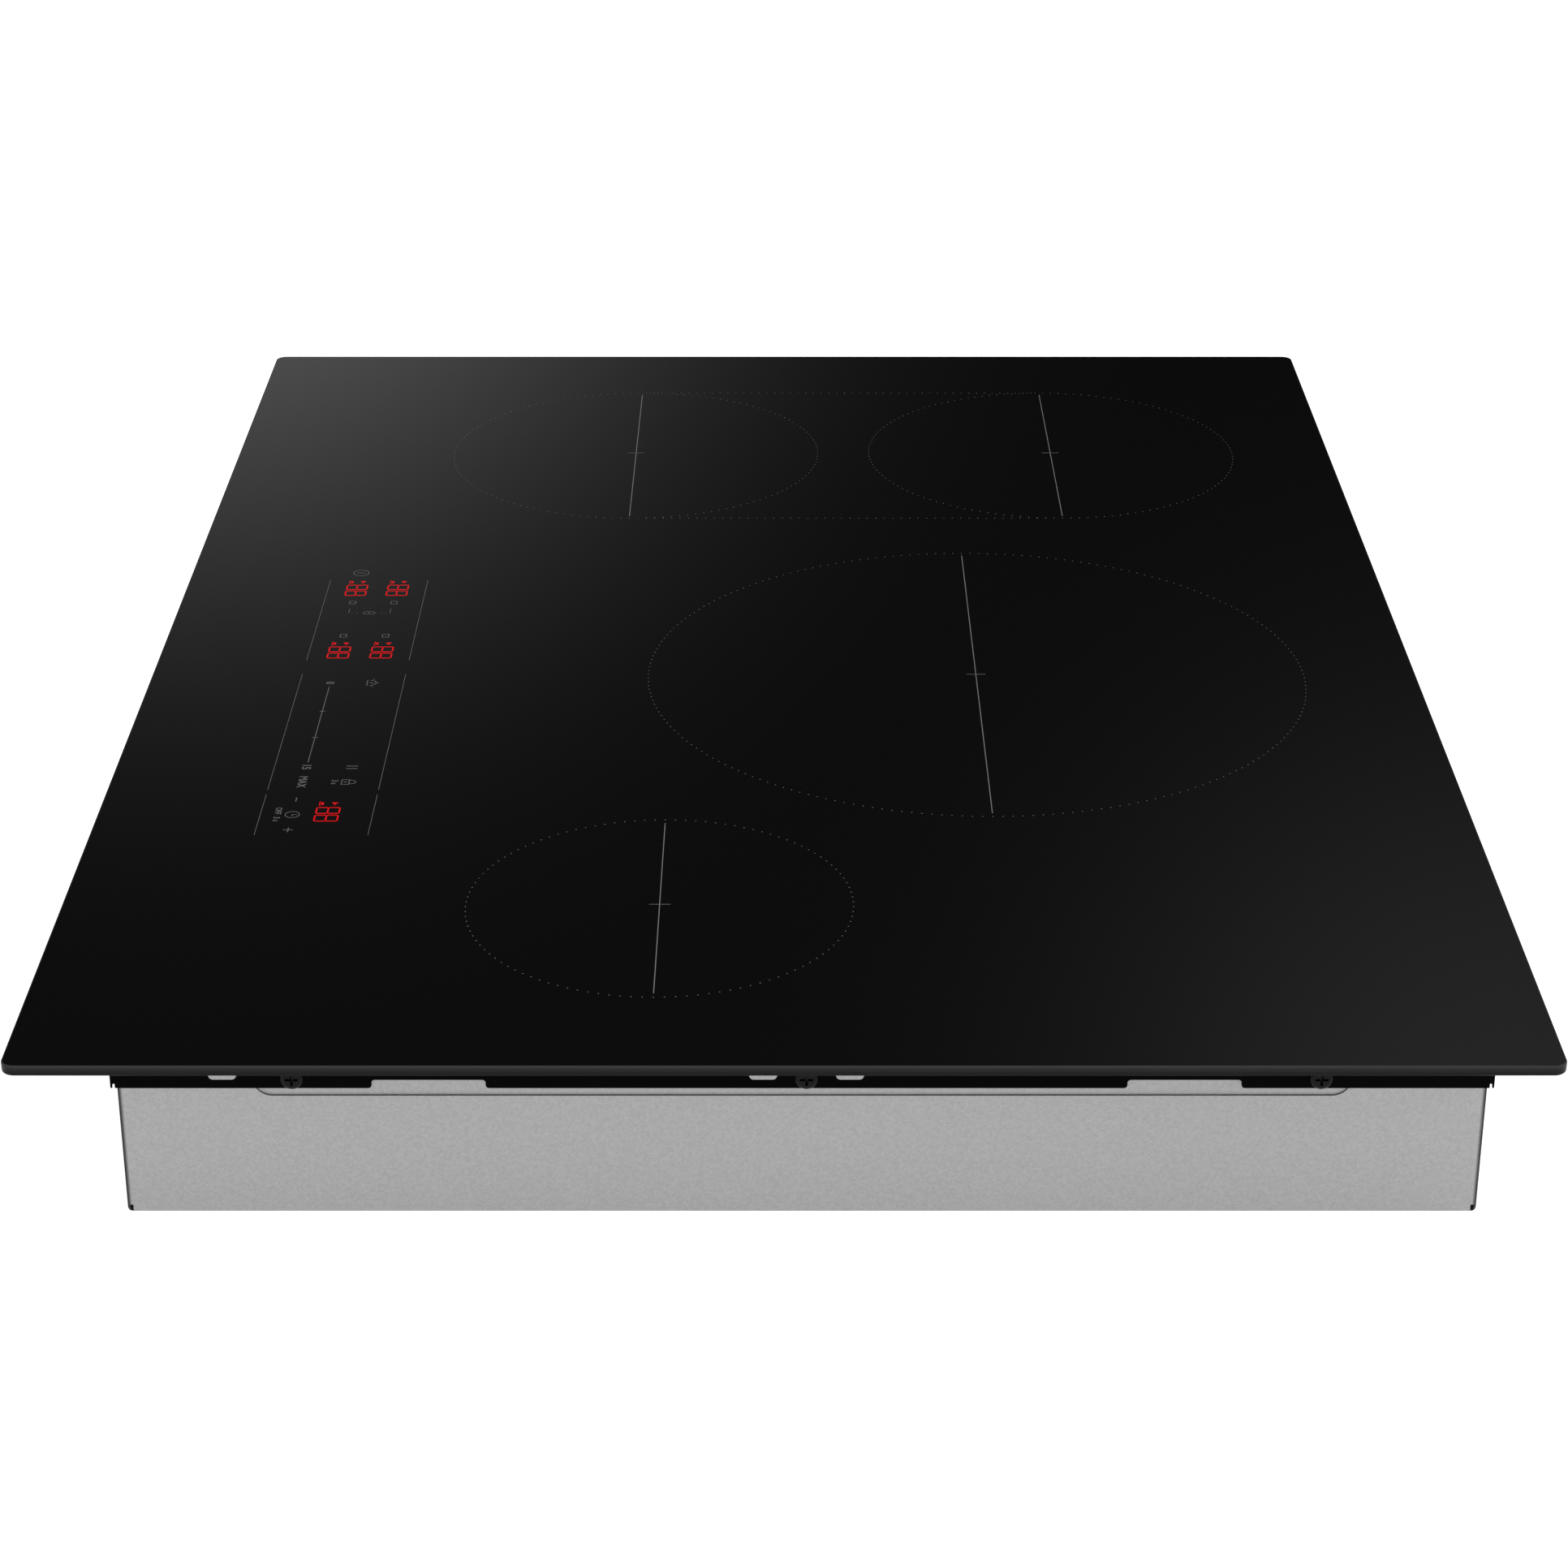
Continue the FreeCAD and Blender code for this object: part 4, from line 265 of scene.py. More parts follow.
def arc(centre, radius, start, end, count):
    """Points round a circle, at even angles from start to end, in degrees."""
    angle = np.radians(np.linspace(start, end, count))
    return np.stack([np.cos(angle), np.sin(angle)], -1) * radius + np.asarray(centre)


def ring(centre, radius, count):
    """Points of a whole circle, with none repeated at its seam."""
    return arc(centre, radius, 0, 360, count + 1)[:-1]


def prisms(outlines, low, high):
    """Upright prisms. Each outline is a loop that runs anticlockwise seen from above.
    Its low and high copies are joined by one quad a side, and a face closes each end."""
    outlines = np.asarray(outlines, float)
    count, points = outlines.shape[:2]
    verts = np.empty((count, 2, points, 3))
    verts[..., :2] = outlines[:, None]
    verts[:, 0, :, 2], verts[:, 1, :, 2] = low, high
    index = np.arange(count * 2 * points).reshape(count, 2, points)
    under, upper = index[:, 0], index[:, 1]
    sides = [under, np.roll(under, -1, 1), np.roll(upper, -1, 1), upper]
    return verts.reshape(-1, 3), [upper, under[:, ::-1], np.stack(sides, -1).reshape(-1, 4)]


def band(points, width, low, high, closed=False):
    """A flat band along a line of points. At each point the two edges lie half the width
    away along the mitre, which is the sum of the neighbouring runs' normals over one plus
    their dot product. The rectangle between them is carried from point to point."""
    points = np.asarray(points, float)
    ahead = np.roll(points, -1, 0) - points
    behind = np.roll(ahead, 1, 0)
    if not closed:
        ahead[-1], behind[0] = behind[-1], ahead[0]
    normals = [
        np.stack([-run[:, 1], run[:, 0]], -1) / np.linalg.norm(run, axis=1)[:, None]
        for run in (ahead, behind)
    ]
    share = 1 + (normals[0] * normals[1]).sum(1)
    mitre = (normals[0] + normals[1]) / share[:, None] * width / 2
    verts = np.empty((len(points), 4, 3))
    verts[:, :2, :2] = (points - mitre)[:, None]
    verts[:, 2:, :2] = (points + mitre)[:, None]
    verts[:, (0, 3), 2], verts[:, 1:3, 2] = low, high
    index = np.arange(len(points) * 4).reshape(-1, 4)
    here, there = (index, np.roll(index, -1, 0)) if closed else (index[:-1], index[1:])
    quads = [here, there, np.roll(there, -1, 1), np.roll(here, -1, 1)]
    faces = [np.stack(quads, -1).reshape(-1, 4)]
    if not closed:
        faces += [index[:1], index[-1:, ::-1]]
    return verts.reshape(-1, 3), faces


def swept_plate(low, high, corner, profile, steps=16):
    """A plate swept round a rounded rectangle. One parameter is the angle round the four
    corners, the other runs down the edge profile, whose points are an inset from the
    outline and a height. A point is its corner's middle plus the corner radius less the
    inset along the angle."""
    quarter = np.linspace(0, math.pi / 2, steps)
    angle = (quarter + np.arange(4)[:, None] * math.pi / 2).ravel()
    way = np.stack([np.cos(angle), np.sin(angle)], -1)
    side = np.repeat([[1, 1], [-1, 1], [-1, -1], [1, -1]], steps, 0)
    middle = (np.array(low[:2]) + np.array(high[:2])) / 2
    half = (np.array(high[:2]) - np.array(low[:2])) / 2 - corner
    inset, height = np.asarray(profile).T
    verts = np.empty((len(angle), len(inset), 3))
    reach = (corner - inset)[None, :, None]
    verts[..., :2] = (middle + side * half)[:, None] + reach * way[:, None]
    verts[..., 2] = height
    index = np.arange(verts.shape[0] * verts.shape[1]).reshape(verts.shape[:2])
    after = np.roll(index, -1, 0)
    quads = [index[:, :-1], index[:, 1:], after[:, 1:], after[:, :-1]]
    caps = [index[None, :, 0], index[None, ::-1, -1]]
    return verts.reshape(-1, 3), caps + [np.stack(quads, -1).reshape(-1, 4)]


def lettering(text, height, centre, low, high, weight=0.0):
    """A word cut from the built-in typeface. It is made a mesh first, then its box is
    scaled to the height and moved to its centre, between the two levels."""
    curve = bpy.data.curves.new(text, "FONT")
    curve.body, curve.extrude, curve.offset, curve.resolution_u = text, 0.5, weight, 3
    holder = bpy.data.objects.new(text, curve)
    bpy.context.scene.collection.objects.link(holder)
    shaped = holder.evaluated_get(bpy.context.evaluated_depsgraph_get())
    mesh = bpy.data.meshes.new_from_object(shaped)
    work = bmesh.new()
    work.from_mesh(mesh)
    bmesh.ops.remove_doubles(work, verts=work.verts, dist=1e-5)
    bmesh.ops.recalc_face_normals(work, faces=work.faces)
    verts = np.array([v.co for v in work.verts])
    faces = [np.array([[v.index for v in face.verts]]) for face in work.faces]
    work.free()
    bpy.data.objects.remove(holder)
    bpy.data.meshes.remove(mesh)
    least, most = verts.min(0), verts.max(0)
    flat = (verts[:, :2] - (least + most)[:2] / 2) * height / (most - least)[1]
    level = np.where(verts[:, 2] > 0, high, low)
    return np.column_stack([flat + np.asarray(centre), level]), faces


def piece(name, parts, material, edge=None):
    """One object from (points, faces) parts, riding on the cooktop's fixed body. With an
    edge material, its four-sided faces are a smooth edge between flat end faces."""
    verts, faces, start = [], [], 0
    for points, groups in parts:
        verts.append(points)
        faces += [face for group in groups for face in (group + start).tolist()]
        start += len(points)
    mesh = bpy.data.meshes.new(name)
    mesh.from_pydata(np.concatenate(verts).tolist(), [], faces)
    mesh.materials.append(material)
    if edge:
        mesh.materials.append(edge)
        curved = np.array([len(face) == 4 for face in faces])
        mesh.polygons.foreach_set("use_smooth", curved)
        mesh.polygons.foreach_set("material_index", curved.astype(np.int32))
    mesh.update()
    made = bpy.data.objects.new(name, mesh)
    bpy.context.scene.collection.objects.link(made)
    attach(made, "base")
    return made


# ---------------------------------------------------------------- finishes


def add(tree, kind, settings=(), links=()):
    """Adds a node. Settings name its properties or inputs, links its inputs' sources."""
    made = tree.nodes.new(kind)
    for key, value in dict(settings).items():
        if isinstance(key, int) or key in made.inputs:
            made.inputs[key].default_value = value
        else:
            setattr(made, key, value)
    for key, (source, output) in dict(links).items():
        tree.links.new(source.outputs[output], made.inputs[key])
    return made


def shader(name, settings):
    """A material with one Principled shader that has these values."""
    material = bpy.data.materials.new(name)
    material.use_nodes = True
    tree = material.node_tree
    tree.nodes.clear()
    surface = add(tree, "ShaderNodeBsdfPrincipled", settings)
    add(tree, "ShaderNodeOutputMaterial", links={"Surface": (surface, "BSDF")})
    return material, tree, surface


def coloured(code):
    """A hex code as a shader's colour value."""
    return (*linear(code), 1.0)


def shaded(tone, share=1.0):
    """A setting's colour times a share, as a shader's colour value."""
    return (*(share * part for part in tone), 1.0)


def grained(
    name, light, dark, rough, grain, depth, texture="ShaderNodeTexNoise",
    texture_settings=(), output=0, stretch=(1, 1, 1), metallic=0.0, fleck=None, extra=(),
):
    """A finish whose colour, roughness and relief follow one pattern. Grain is the real
    size of the pattern in millimetres, depth the height of its relief in millimetres,
    rough the lowest and highest roughness, and stretch its shares along X, Y and Z. A
    fleck is a second, even noise of that size in millimetres, mixed in half and half."""
    values = {"Metallic": metallic, **dict(extra)}
    material, tree, surface = shader(name, values)
    place = add(tree, "ShaderNodeTexCoord")
    scaled = add(
        tree, "ShaderNodeMapping", {"Scale": [1000 / grain * s for s in stretch]},
        {"Vector": (place, "Object")},
    )
    pattern = add(
        tree, texture, {"Scale": 1.0, **dict(texture_settings)}, {"Vector": (scaled, 0)}
    )
    if fleck:
        fine = add(tree, "ShaderNodeTexNoise", {"Scale": 1000 / fleck, "Detail": 2.0},
                   {"Vector": (place, "Object")})
        pattern = add(tree, "ShaderNodeMix", {"data_type": "FLOAT", 0: 0.5},
                      {2: (pattern, output), 3: (fine, 0)})
        output = 0
    blend = add(
        tree, "ShaderNodeMix", {"data_type": "RGBA", 6: coloured(dark), 7: coloured(light)},
        {"Factor": (pattern, output)},
    )
    sheen = add(tree, "ShaderNodeMapRange", {"To Min": rough[0], "To Max": rough[1]},
                {"Value": (pattern, output)})
    relief = add(tree, "ShaderNodeBump", {"Distance": depth * MM, "Strength": 1.0},
                 {"Height": (pattern, output)})
    for socket, (source, key) in {
        "Base Color": (blend, 2), "Roughness": (sheen, 0), "Normal": (relief, 0),
    }.items():
        tree.links.new(source.outputs[key], surface.inputs[socket])
    return material


def black_ceramic_glass(name, settings):
    """Black glass-ceramic, rolled and fire-polished: a near-black body, its tone flecked
    very slightly over 1.2 mm, under a hard mirror face with the faintest orange-peel in
    the roughness, about 12 mm across."""
    values = {"IOR": 1.5, "Specular IOR Level": 0.5}
    material, tree, surface = shader(name, values)
    place = add(tree, "ShaderNodeTexCoord")
    peel = add(tree, "ShaderNodeTexNoise", {"Scale": 1000 / 12, "Detail": 1.0},
               {"Vector": (place, "Object")})
    fleck = add(tree, "ShaderNodeTexNoise", {"Scale": 1000 / 1.2, "Detail": 2.0},
                {"Vector": (place, "Object")})
    body = add(
        tree, "ShaderNodeMix",
        {"data_type": "RGBA", 6: shaded(settings.tone, 0.85), 7: shaded(settings.tone, 1.15)},
        {"Factor": (fleck, 0)},
    )
    gloss = add(
        tree, "ShaderNodeMapRange",
        {"To Min": 0.8 * settings.polish, "To Max": 1.2 * settings.polish},
        {"Value": (peel, 0)},
    )
    tree.links.new(body.outputs[2], surface.inputs["Base Color"])
    tree.links.new(gloss.outputs[0], surface.inputs["Roughness"])
    return material


def ground_edge_with_painted_light(name):
    """Edge of the plate, ground with fine diamond wheels: matt dark grey with grinding marks of
    0.4 mm. Light is painted on by height: a painted reflection palest at the upper edge, painted
    shade darkening to the lower one, a thin painted highlight above the lower bevel, which painted
    shade makes black."""
    values = {"Roughness": 0.35, "Specular IOR Level": 0.06}
    material, tree, surface = shader(name, values)
    place = add(tree, "ShaderNodeTexCoord")
    axes = add(tree, "ShaderNodeSeparateXYZ", links={0: (place, "Object")})
    marks = add(tree, "ShaderNodeTexNoise", {"Scale": 1000 / 0.4, "Detail": 1.0},
                {"Vector": (place, "Object")})
    height = add(
        tree, "ShaderNodeMapRange",
        {"From Min": GLASS_LOW[2], "From Max": GLASS_HIGH[2], "To Min": -0.03, "To Max": 0.97},
        {"Value": (axes, 2)},
    )
    share = add(tree, "ShaderNodeMath", {"operation": "MULTIPLY_ADD", 1: 0.06},
                {0: (marks, 0), 2: (height, 0)})
    body = add(tree, "ShaderNodeValToRGB", links={"Fac": (share, 0)})
    painted_light_stops = body.color_ramp.elements
    painted_light_stops[0].color, painted_light_stops[1].color = coloured("#010101"), coloured("#383839")
    # Stops of the painted light, from the lower bevel's painted shade, past a thin painted
    # highlight, up to the upper edge's painted reflection.
    between = {0.17: "#030303", 0.2: "#1d1d1d", 0.27: "#121212", 0.8: "#272728"}
    for share_up, code in between.items():
        painted_light_stops.new(share_up).color = coloured(code)
    tree.links.new(body.outputs[0], surface.inputs["Base Color"])
    return material


def enamel(name, ink):
    """Screen-printed ceramic enamel, fired on: a matt mid grey with a screen grain of
    about 0.3 mm that thins the ink a little between the threads."""
    material, tree, surface = shader(name, {"Roughness": 0.5, "IOR": 1.5})
    place = add(tree, "ShaderNodeTexCoord")
    weave = add(tree, "ShaderNodeTexNoise", {"Scale": 1000 / 0.3, "Detail": 1.0},
                {"Vector": (place, "Object")})
    tone = add(
        tree, "ShaderNodeMix",
        {"data_type": "RGBA", 6: shaded(ink, 0.82), 7: shaded(ink, 1.12)},
        {"Factor": (weave, 0)},
    )
    tree.links.new(tone.outputs[2], surface.inputs["Base Color"])
    return material


def lit_red(name, settings):
    """Red light of an LED figure seen through black glass: an even bright red whose light
    guide gives it a slightly mottled glow, about 2 mm across."""
    values = {"Base Color": coloured("#040001"), "Roughness": 0.25,
              "Emission Color": shaded(settings.glow), "Specular IOR Level": 0.1}
    material, tree, surface = shader(name, values)
    place = add(tree, "ShaderNodeTexCoord")
    mottle = add(tree, "ShaderNodeTexNoise", {"Scale": 1000 / 2, "Detail": 1.0},
                 {"Vector": (place, "Object")})
    power = add(
        tree, "ShaderNodeMapRange",
        {"To Min": 0.9 * settings.power, "To Max": 1.1 * settings.power},
        {"Value": (mottle, 0)},
    )
    tree.links.new(power.outputs[0], surface.inputs["Emission Strength"])
    return material


def circuit_board():
    """Glass-fibre board under green solder mask: straight tracks about 1.6 mm apart show
    as a paler green, raised a few hundredths of a millimetre, under a soft gloss."""
    return grained(
        "green_solder_mask", "#2f7a45", "#1b5a31", (0.28, 0.4), 3.2, 0.03,
        "ShaderNodeTexBrick",
        {"Mortar Size": 0.12, "Mortar Smooth": 0.1, "Brick Width": 2.4, "Row Height": 0.5,
         "Color1": (1, 1, 1, 1), "Color2": (0.4, 0.4, 0.4, 1), "Mortar": (0, 0, 0, 1)},
        extra={"IOR": 1.52},
    )


def galvanised_sheet():
    """Hot-dip galvanised steel with minimised spangle: crystals of about 0.8 mm, each a
    little lighter or darker and duller than its neighbours, on a satin zinc grey, with
    the fine bright speckle of a temper-rolled skin, 0.5 mm across. Along the case's
    bent upright corners a dark line of painted shade is mixed into the colour."""
    material = grained(
        "galvanised_steel_sheet", "#b3b3b3", "#919191", (0.42, 0.62), 0.8, 0.003,
        "ShaderNodeTexVoronoi", {"feature": "F1", "Randomness": 1.0}, "Color",
        metallic=0.6, fleck=0.5, extra={"Specular Tint": coloured("#202020")},
    )
    tree = material.node_tree
    surface = tree.nodes["Principled BSDF"]
    axes = add(tree, "ShaderNodeSeparateXYZ",
               links={0: (add(tree, "ShaderNodeTexCoord"), "Object")})
    # How far a point lies into the corners' width, from 0 to 1, along X and along Y.
    near = []
    for axis, proud in ((0, TAB_REACH), (1, 0)):
        low, high = (corner[axis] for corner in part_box("bottom_case"))
        middle, half = (low + high) / 2, (high - low) / 2 - proud
        off = add(tree, "ShaderNodeMath", {"operation": "SUBTRACT", 1: middle},
                  {0: (axes, axis)})
        far = add(tree, "ShaderNodeMath", {"operation": "ABSOLUTE"}, {0: (off, 0)})
        near.append(add(
            tree, "ShaderNodeMapRange", {"From Min": half - CORNER_SHADE_WIDTH, "From Max": half},
            {"Value": (far, 0)}))
    both = add(tree, "ShaderNodeMath", {"operation": "MULTIPLY"},
               {0: (near[0], 0), 1: (near[1], 0)})
    # Painted shade: the case's bent upright corners are darkened towards #3a3a3a.
    painted_corner_shade = add(tree, "ShaderNodeMapRange", {"From Max": 0.5}, {"Value": (both, 0)})
    body = add(
        tree, "ShaderNodeMix", {"data_type": "RGBA", 7: coloured("#3a3a3a")},
        {"Factor": (painted_corner_shade, 0), 6: (surface.inputs["Base Color"].links[0].from_node, 2)},
    )
    tree.links.new(body.outputs[2], surface.inputs["Base Color"])
    return material


VORONOI, WAVE = "ShaderNodeTexVoronoi", "ShaderNodeTexWave"
FINE = {"Detail": 3.0}
BANDS = {"wave_type": "BANDS", "bands_direction": "DIAGONAL", "Distortion": 1.2}

# Finish by finish: name, light and dark colour, roughness range, grain and depth in mm.
PLAIN_FINISHES = {
    # RTV silicone, squeezed out and cured: smooth, black, faintly wavy bead.
    "adhesive": dict(args=("cured_black_silicone", "#161616", "#0d0d0d", (0.3, 0.42), 6, 0.06)),
    # Aluminium sheet, cold rolled: long fine roll lines along its length.
    "aluminium_sheet": dict(
        args=("rolled_aluminium_sheet", "#d4d6d8", "#bfc2c5", (0.26, 0.4), 1.2, 0.003),
        metallic=1.0, stretch=(0.04, 1, 1), texture_settings=FINE),
    # Steel under black powder coat: near black, fine orange-peel, low sheen.
    "black_frame": dict(
        args=("black_powder_coat", "#040404", "#020202", (0.5, 0.62), 0.9, 0.008),
        texture_settings=FINE, extra={"Specular IOR Level": 0.02}),
    # Transistor and bridge packages: black moulded epoxy, satin with faint flow mottling.
    "black_moulding": dict(
        args=("black_epoxy_package", "#232324", "#171718", (0.4, 0.52), 0.8, 0.01)),
    # Black-zinc plated screws: dark satin metal.
    "black_screws": dict(
        args=("black_zinc_plate", "#0e0e0f", "#070708", (0.2, 0.35), 0.6, 0.004), metallic=0.4,
        extra={"Specular IOR Level": 0.15}),
    # Blower moulding in black PBT: fine spark-eroded grain.
    "blower_plastic": dict(
        args=("black_pbt_moulding", "#28292a", "#1a1b1c", (0.42, 0.55), 0.35, 0.012)),
    # Strain-relief bush in black nylon: smooth, slightly glossy.
    "bush_plastic": dict(args=("black_nylon_bush", "#202021", "#151516", (0.3, 0.4), 0.5, 0.006)),
    # Film capacitor cases: yellow flame-proof plastic, smooth.
    "capacitor_box": dict(
        args=("yellow_capacitor_case", "#e1ce59", "#cdb94a", (0.3, 0.42), 0.6, 0.006)),
    # Bus capacitor case: pale grey moulding.
    "capacitor_grey": dict(
        args=("pale_grey_capacitor_case", "#a9acad", "#97999a", (0.35, 0.48), 0.6, 0.006)),
    # Touch carrier in black ABS: fine matt grain.
    "carrier_plastic": dict(
        args=("black_abs_carrier", "#333334", "#262627", (0.5, 0.6), 0.4, 0.01)),
    # Enamelled copper wire on the chokes: turns of 1.2 mm, deep amber gloss.
    "choke_wire": dict(
        args=("enamelled_copper_wire", "#c2632b", "#7a3514", (0.22, 0.4), 1.2, 0.12, WAVE),
        metallic=0.9, texture_settings=BANDS),
    # Litz wire: bundles twisted at 2.5 mm, brown enamel over bright copper.
    "copper_litz": dict(
        args=("twisted_litz_wire", "#c97a45", "#87421d", (0.28, 0.45), 2.5, 0.15, WAVE),
        metallic=0.9, texture_settings=BANDS),
    # Terminal cover in dark grey polycarbonate: even satin.
    "cover_plastic": dict(
        args=("dark_grey_polycarbonate", "#5b5b5c", "#4c4c4d", (0.32, 0.42), 0.5, 0.006)),
    # Display housing in smoked red-black PBT with a smooth face.
    "display_plastic": dict(
        args=("smoked_display_housing", "#3f1919", "#301313", (0.3, 0.4), 0.4, 0.006)),
    # Heat sink, extruded aluminium: die lines along the fins.
    "extruded_aluminium": dict(
        args=("extruded_aluminium", "#c9cbcd", "#b2b4b7", (0.3, 0.44), 0.8, 0.01),
        metallic=1.0, stretch=(1, 0.03, 1), texture_settings=FINE),
    # Sintered ferrite bars: dark grey, dull, with small pits.
    "ferrite": dict(
        args=("sintered_ferrite", "#403f41", "#29282a", (0.55, 0.7), 1.0, 0.03, VORONOI),
        output="Distance"),
    # Coil former in glass-filled PBT: warm off-white with a fibre fleck.
    "former_plastic": dict(
        args=("glass_filled_former", "#d9d3c4", "#c4bdac", (0.45, 0.58), 0.7, 0.012)),
    # Insulating film: translucent yellowed polyester, smooth.
    "insulation_film": dict(args=("polyester_film", "#d8d3b8", "#c9c4a8", (0.2, 0.3), 8, 0.01)),
    # Silicone leads: red-brown rubber sleeve, matt.
    "lead_silicone": dict(
        args=("silicone_lead_sleeve", "#8d2f22", "#742519", (0.5, 0.62), 0.5, 0.006)),
    # Mica sheet: silvery amber flakes of 4 mm pressed together.
    "mica": dict(
        args=("pressed_mica_sheet", "#b9a781", "#94825c", (0.25, 0.45), 4, 0.01, VORONOI),
        output="Color", metallic=0.15),
    # Motor stack: steel laminations under a dark coating, the sheets' edges faint.
    "motor_metal": dict(
        args=("dark_coated_laminations", "#616161", "#4e4e4e", (0.3, 0.44), 0.7, 0.003),
        metallic=0.5, stretch=(0.1, 0.1, 1)),
    # Board supports: natural nylon, milky and smooth.
    "nylon": dict(args=("natural_nylon", "#dedbd0", "#cfccc0", (0.35, 0.45), 0.8, 0.006)),
    # Relay case: blue thermoplastic, smooth.
    "relay_plastic": dict(
        args=("blue_relay_case", "#20508a", "#1a4376", (0.3, 0.4), 0.6, 0.005)),
    # Ribbon cable: grey PVC with 1.27 mm wires side by side across its width.
    "ribbon_pvc": dict(
        args=("grey_pvc_ribbon", "#9b9da0", "#7a7c7f", (0.4, 0.5), 1.27, 0.12, WAVE),
        texture_settings={"wave_type": "BANDS", "bands_direction": "Y", "Distortion": 0.0}),
    # Worktop gasket: closed-cell foam with cells of half a millimetre.
    "seal_foam": dict(
        args=("closed_cell_foam", "#1e1e1f", "#0f0f10", (0.75, 0.9), 0.5, 0.06, VORONOI),
        output="Distance"),
    # Sensor boots: brick-red silicone rubber, matt.
    "silicone_boot": dict(
        args=("red_silicone_boot", "#b3503f", "#9c4132", (0.5, 0.62), 0.6, 0.006)),
    # Springs: bright music wire drawn along its length.
    "spring_steel": dict(
        args=("drawn_spring_steel", "#b8b9bb", "#96979a", (0.2, 0.34), 0.4, 0.003), metallic=1.0),
    # Plate pillars: zinc-plated steel, turned.
    "steel_post": dict(
        args=("turned_zinc_steel", "#c3c6c9", "#a7aaad", (0.24, 0.38), 0.5, 0.004),
        metallic=1.0, stretch=(0.2, 0.2, 1)),
    # Terminal block: cream polyamide.
    "terminal_plastic": dict(
        args=("cream_polyamide", "#d9d6c9", "#c8c5b7", (0.38, 0.5), 0.6, 0.008)),
    # Touch pads: black conductive foam, open cells of a third of a millimetre.
    "touch_foam": dict(
        args=("conductive_foam", "#2b2b2c", "#171718", (0.8, 0.92), 0.35, 0.06, VORONOI),
        output="Distance"),
    # Small screws: bright zinc with a faint blue passivation.
    "zinc_screws": dict(
        args=("blue_zinc_plate", "#c2c8cf", "#a4aab2", (0.22, 0.36), 0.6, 0.003), metallic=1.0),
}


# ---------------------------------------------------------------- operators


def ink_levels(scene):
    """Where printed ink starts, just inside the glass, and where it ends."""
    top = GLASS_HIGH[2]
    return top - INK_SINK, top + scene.cooktop_print.ink_height


def found_material(maker, name, *settings):
    """The material of that name, made on its first use."""
    return bpy.data.materials.get(name) or maker(name, *settings)


class COOKTOP_OT_glass(bpy.types.Operator):
    """Makes the ceramic glass plate, with its rounded edge and corners"""

    bl_idname = "cooktop.glass"
    bl_label = "Ceramic glass"

    def execute(self, context):
        own = context.scene.cooktop_glass
        low, high = GLASS_LOW[2], GLASS_HIGH[2]
        upper = arc((own.top_round, high - own.top_round), own.top_round, 90, 180, 9)
        lower = arc((own.under_round, low + own.under_round), own.under_round, 180, 270, 5)
        profile = np.concatenate([upper, lower])
        plate = swept_plate(GLASS_LOW, GLASS_HIGH, own.corner, profile)
        glass = found_material(black_ceramic_glass, "black_glass_ceramic", own)
        # The edge material paints reflection, highlight and shade onto the edge by height.
        edge = found_material(ground_edge_with_painted_light, "ground_glass_edge")
        made = piece("ceramic_glass", [plate], glass, edge)
        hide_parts("glass_top")
        return {"FINISHED"}


class COOKTOP_OT_zone_print(bpy.types.Operator):
    """Prints each zone's dotted ring, its long line and its centre mark"""

    bl_idname = "cooktop.zone_print"
    bl_label = "Zone print"

    def execute(self, context):
        own = context.scene.cooktop_print
        levels = ink_levels(context.scene)
        ink = found_material(enamel, "zone_grey_enamel", own.ink)
        dot = ring((0, 0), own.dot / 2, 12)
        middles = {}
        for zone in ZONES:
            low, high = (np.array(corner[:2]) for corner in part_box(f"mica_disc_{zone}"))
            centre, radius = (low + high) / 2, (high - low)[0] / 2 + RING_MARGIN
            middles[zone] = centre, radius
            dots = ring(centre, radius, round(2 * math.pi * radius / own.pitch))
            reach, thin = radius - LINE_SHORT, MARK_SHARE * own.line
            parts = [
                prisms(dots[:, None] + dot, *levels),
                band([centre - (reach, 0), centre + (reach, 0)], own.line, *levels),
                band([centre - (0, MARK_ARM), centre - (0, own.line / 2)], thin, *levels),
                band([centre + (0, own.line / 2), centre + (0, MARK_ARM)], thin, *levels),
            ]
            piece(f"zone_print_{zone}", parts, ink)
        (front, radius), (rear, _) = middles["front_left"], middles["rear_left"]
        count = round((rear - front)[1] / own.pitch)
        rows = front[1] + (rear - front)[1] * (np.arange(1, count) / count)
        dots = [[front[0] + side * radius, row] for side in (-1, 1) for row in rows]
        bridge = prisms(np.array(dots)[:, None] + dot, *levels)
        piece("zone_print_bridge", [bridge], ink)
        return {"FINISHED"}


def panel(x, y):
    """A point of the printed panel, in millimetres from the touch unit's corner."""
    start = np.array([PANEL_X, PANEL_Y]) + PRINT_SHIFT
    return start + np.stack([x, y], -1) * MM


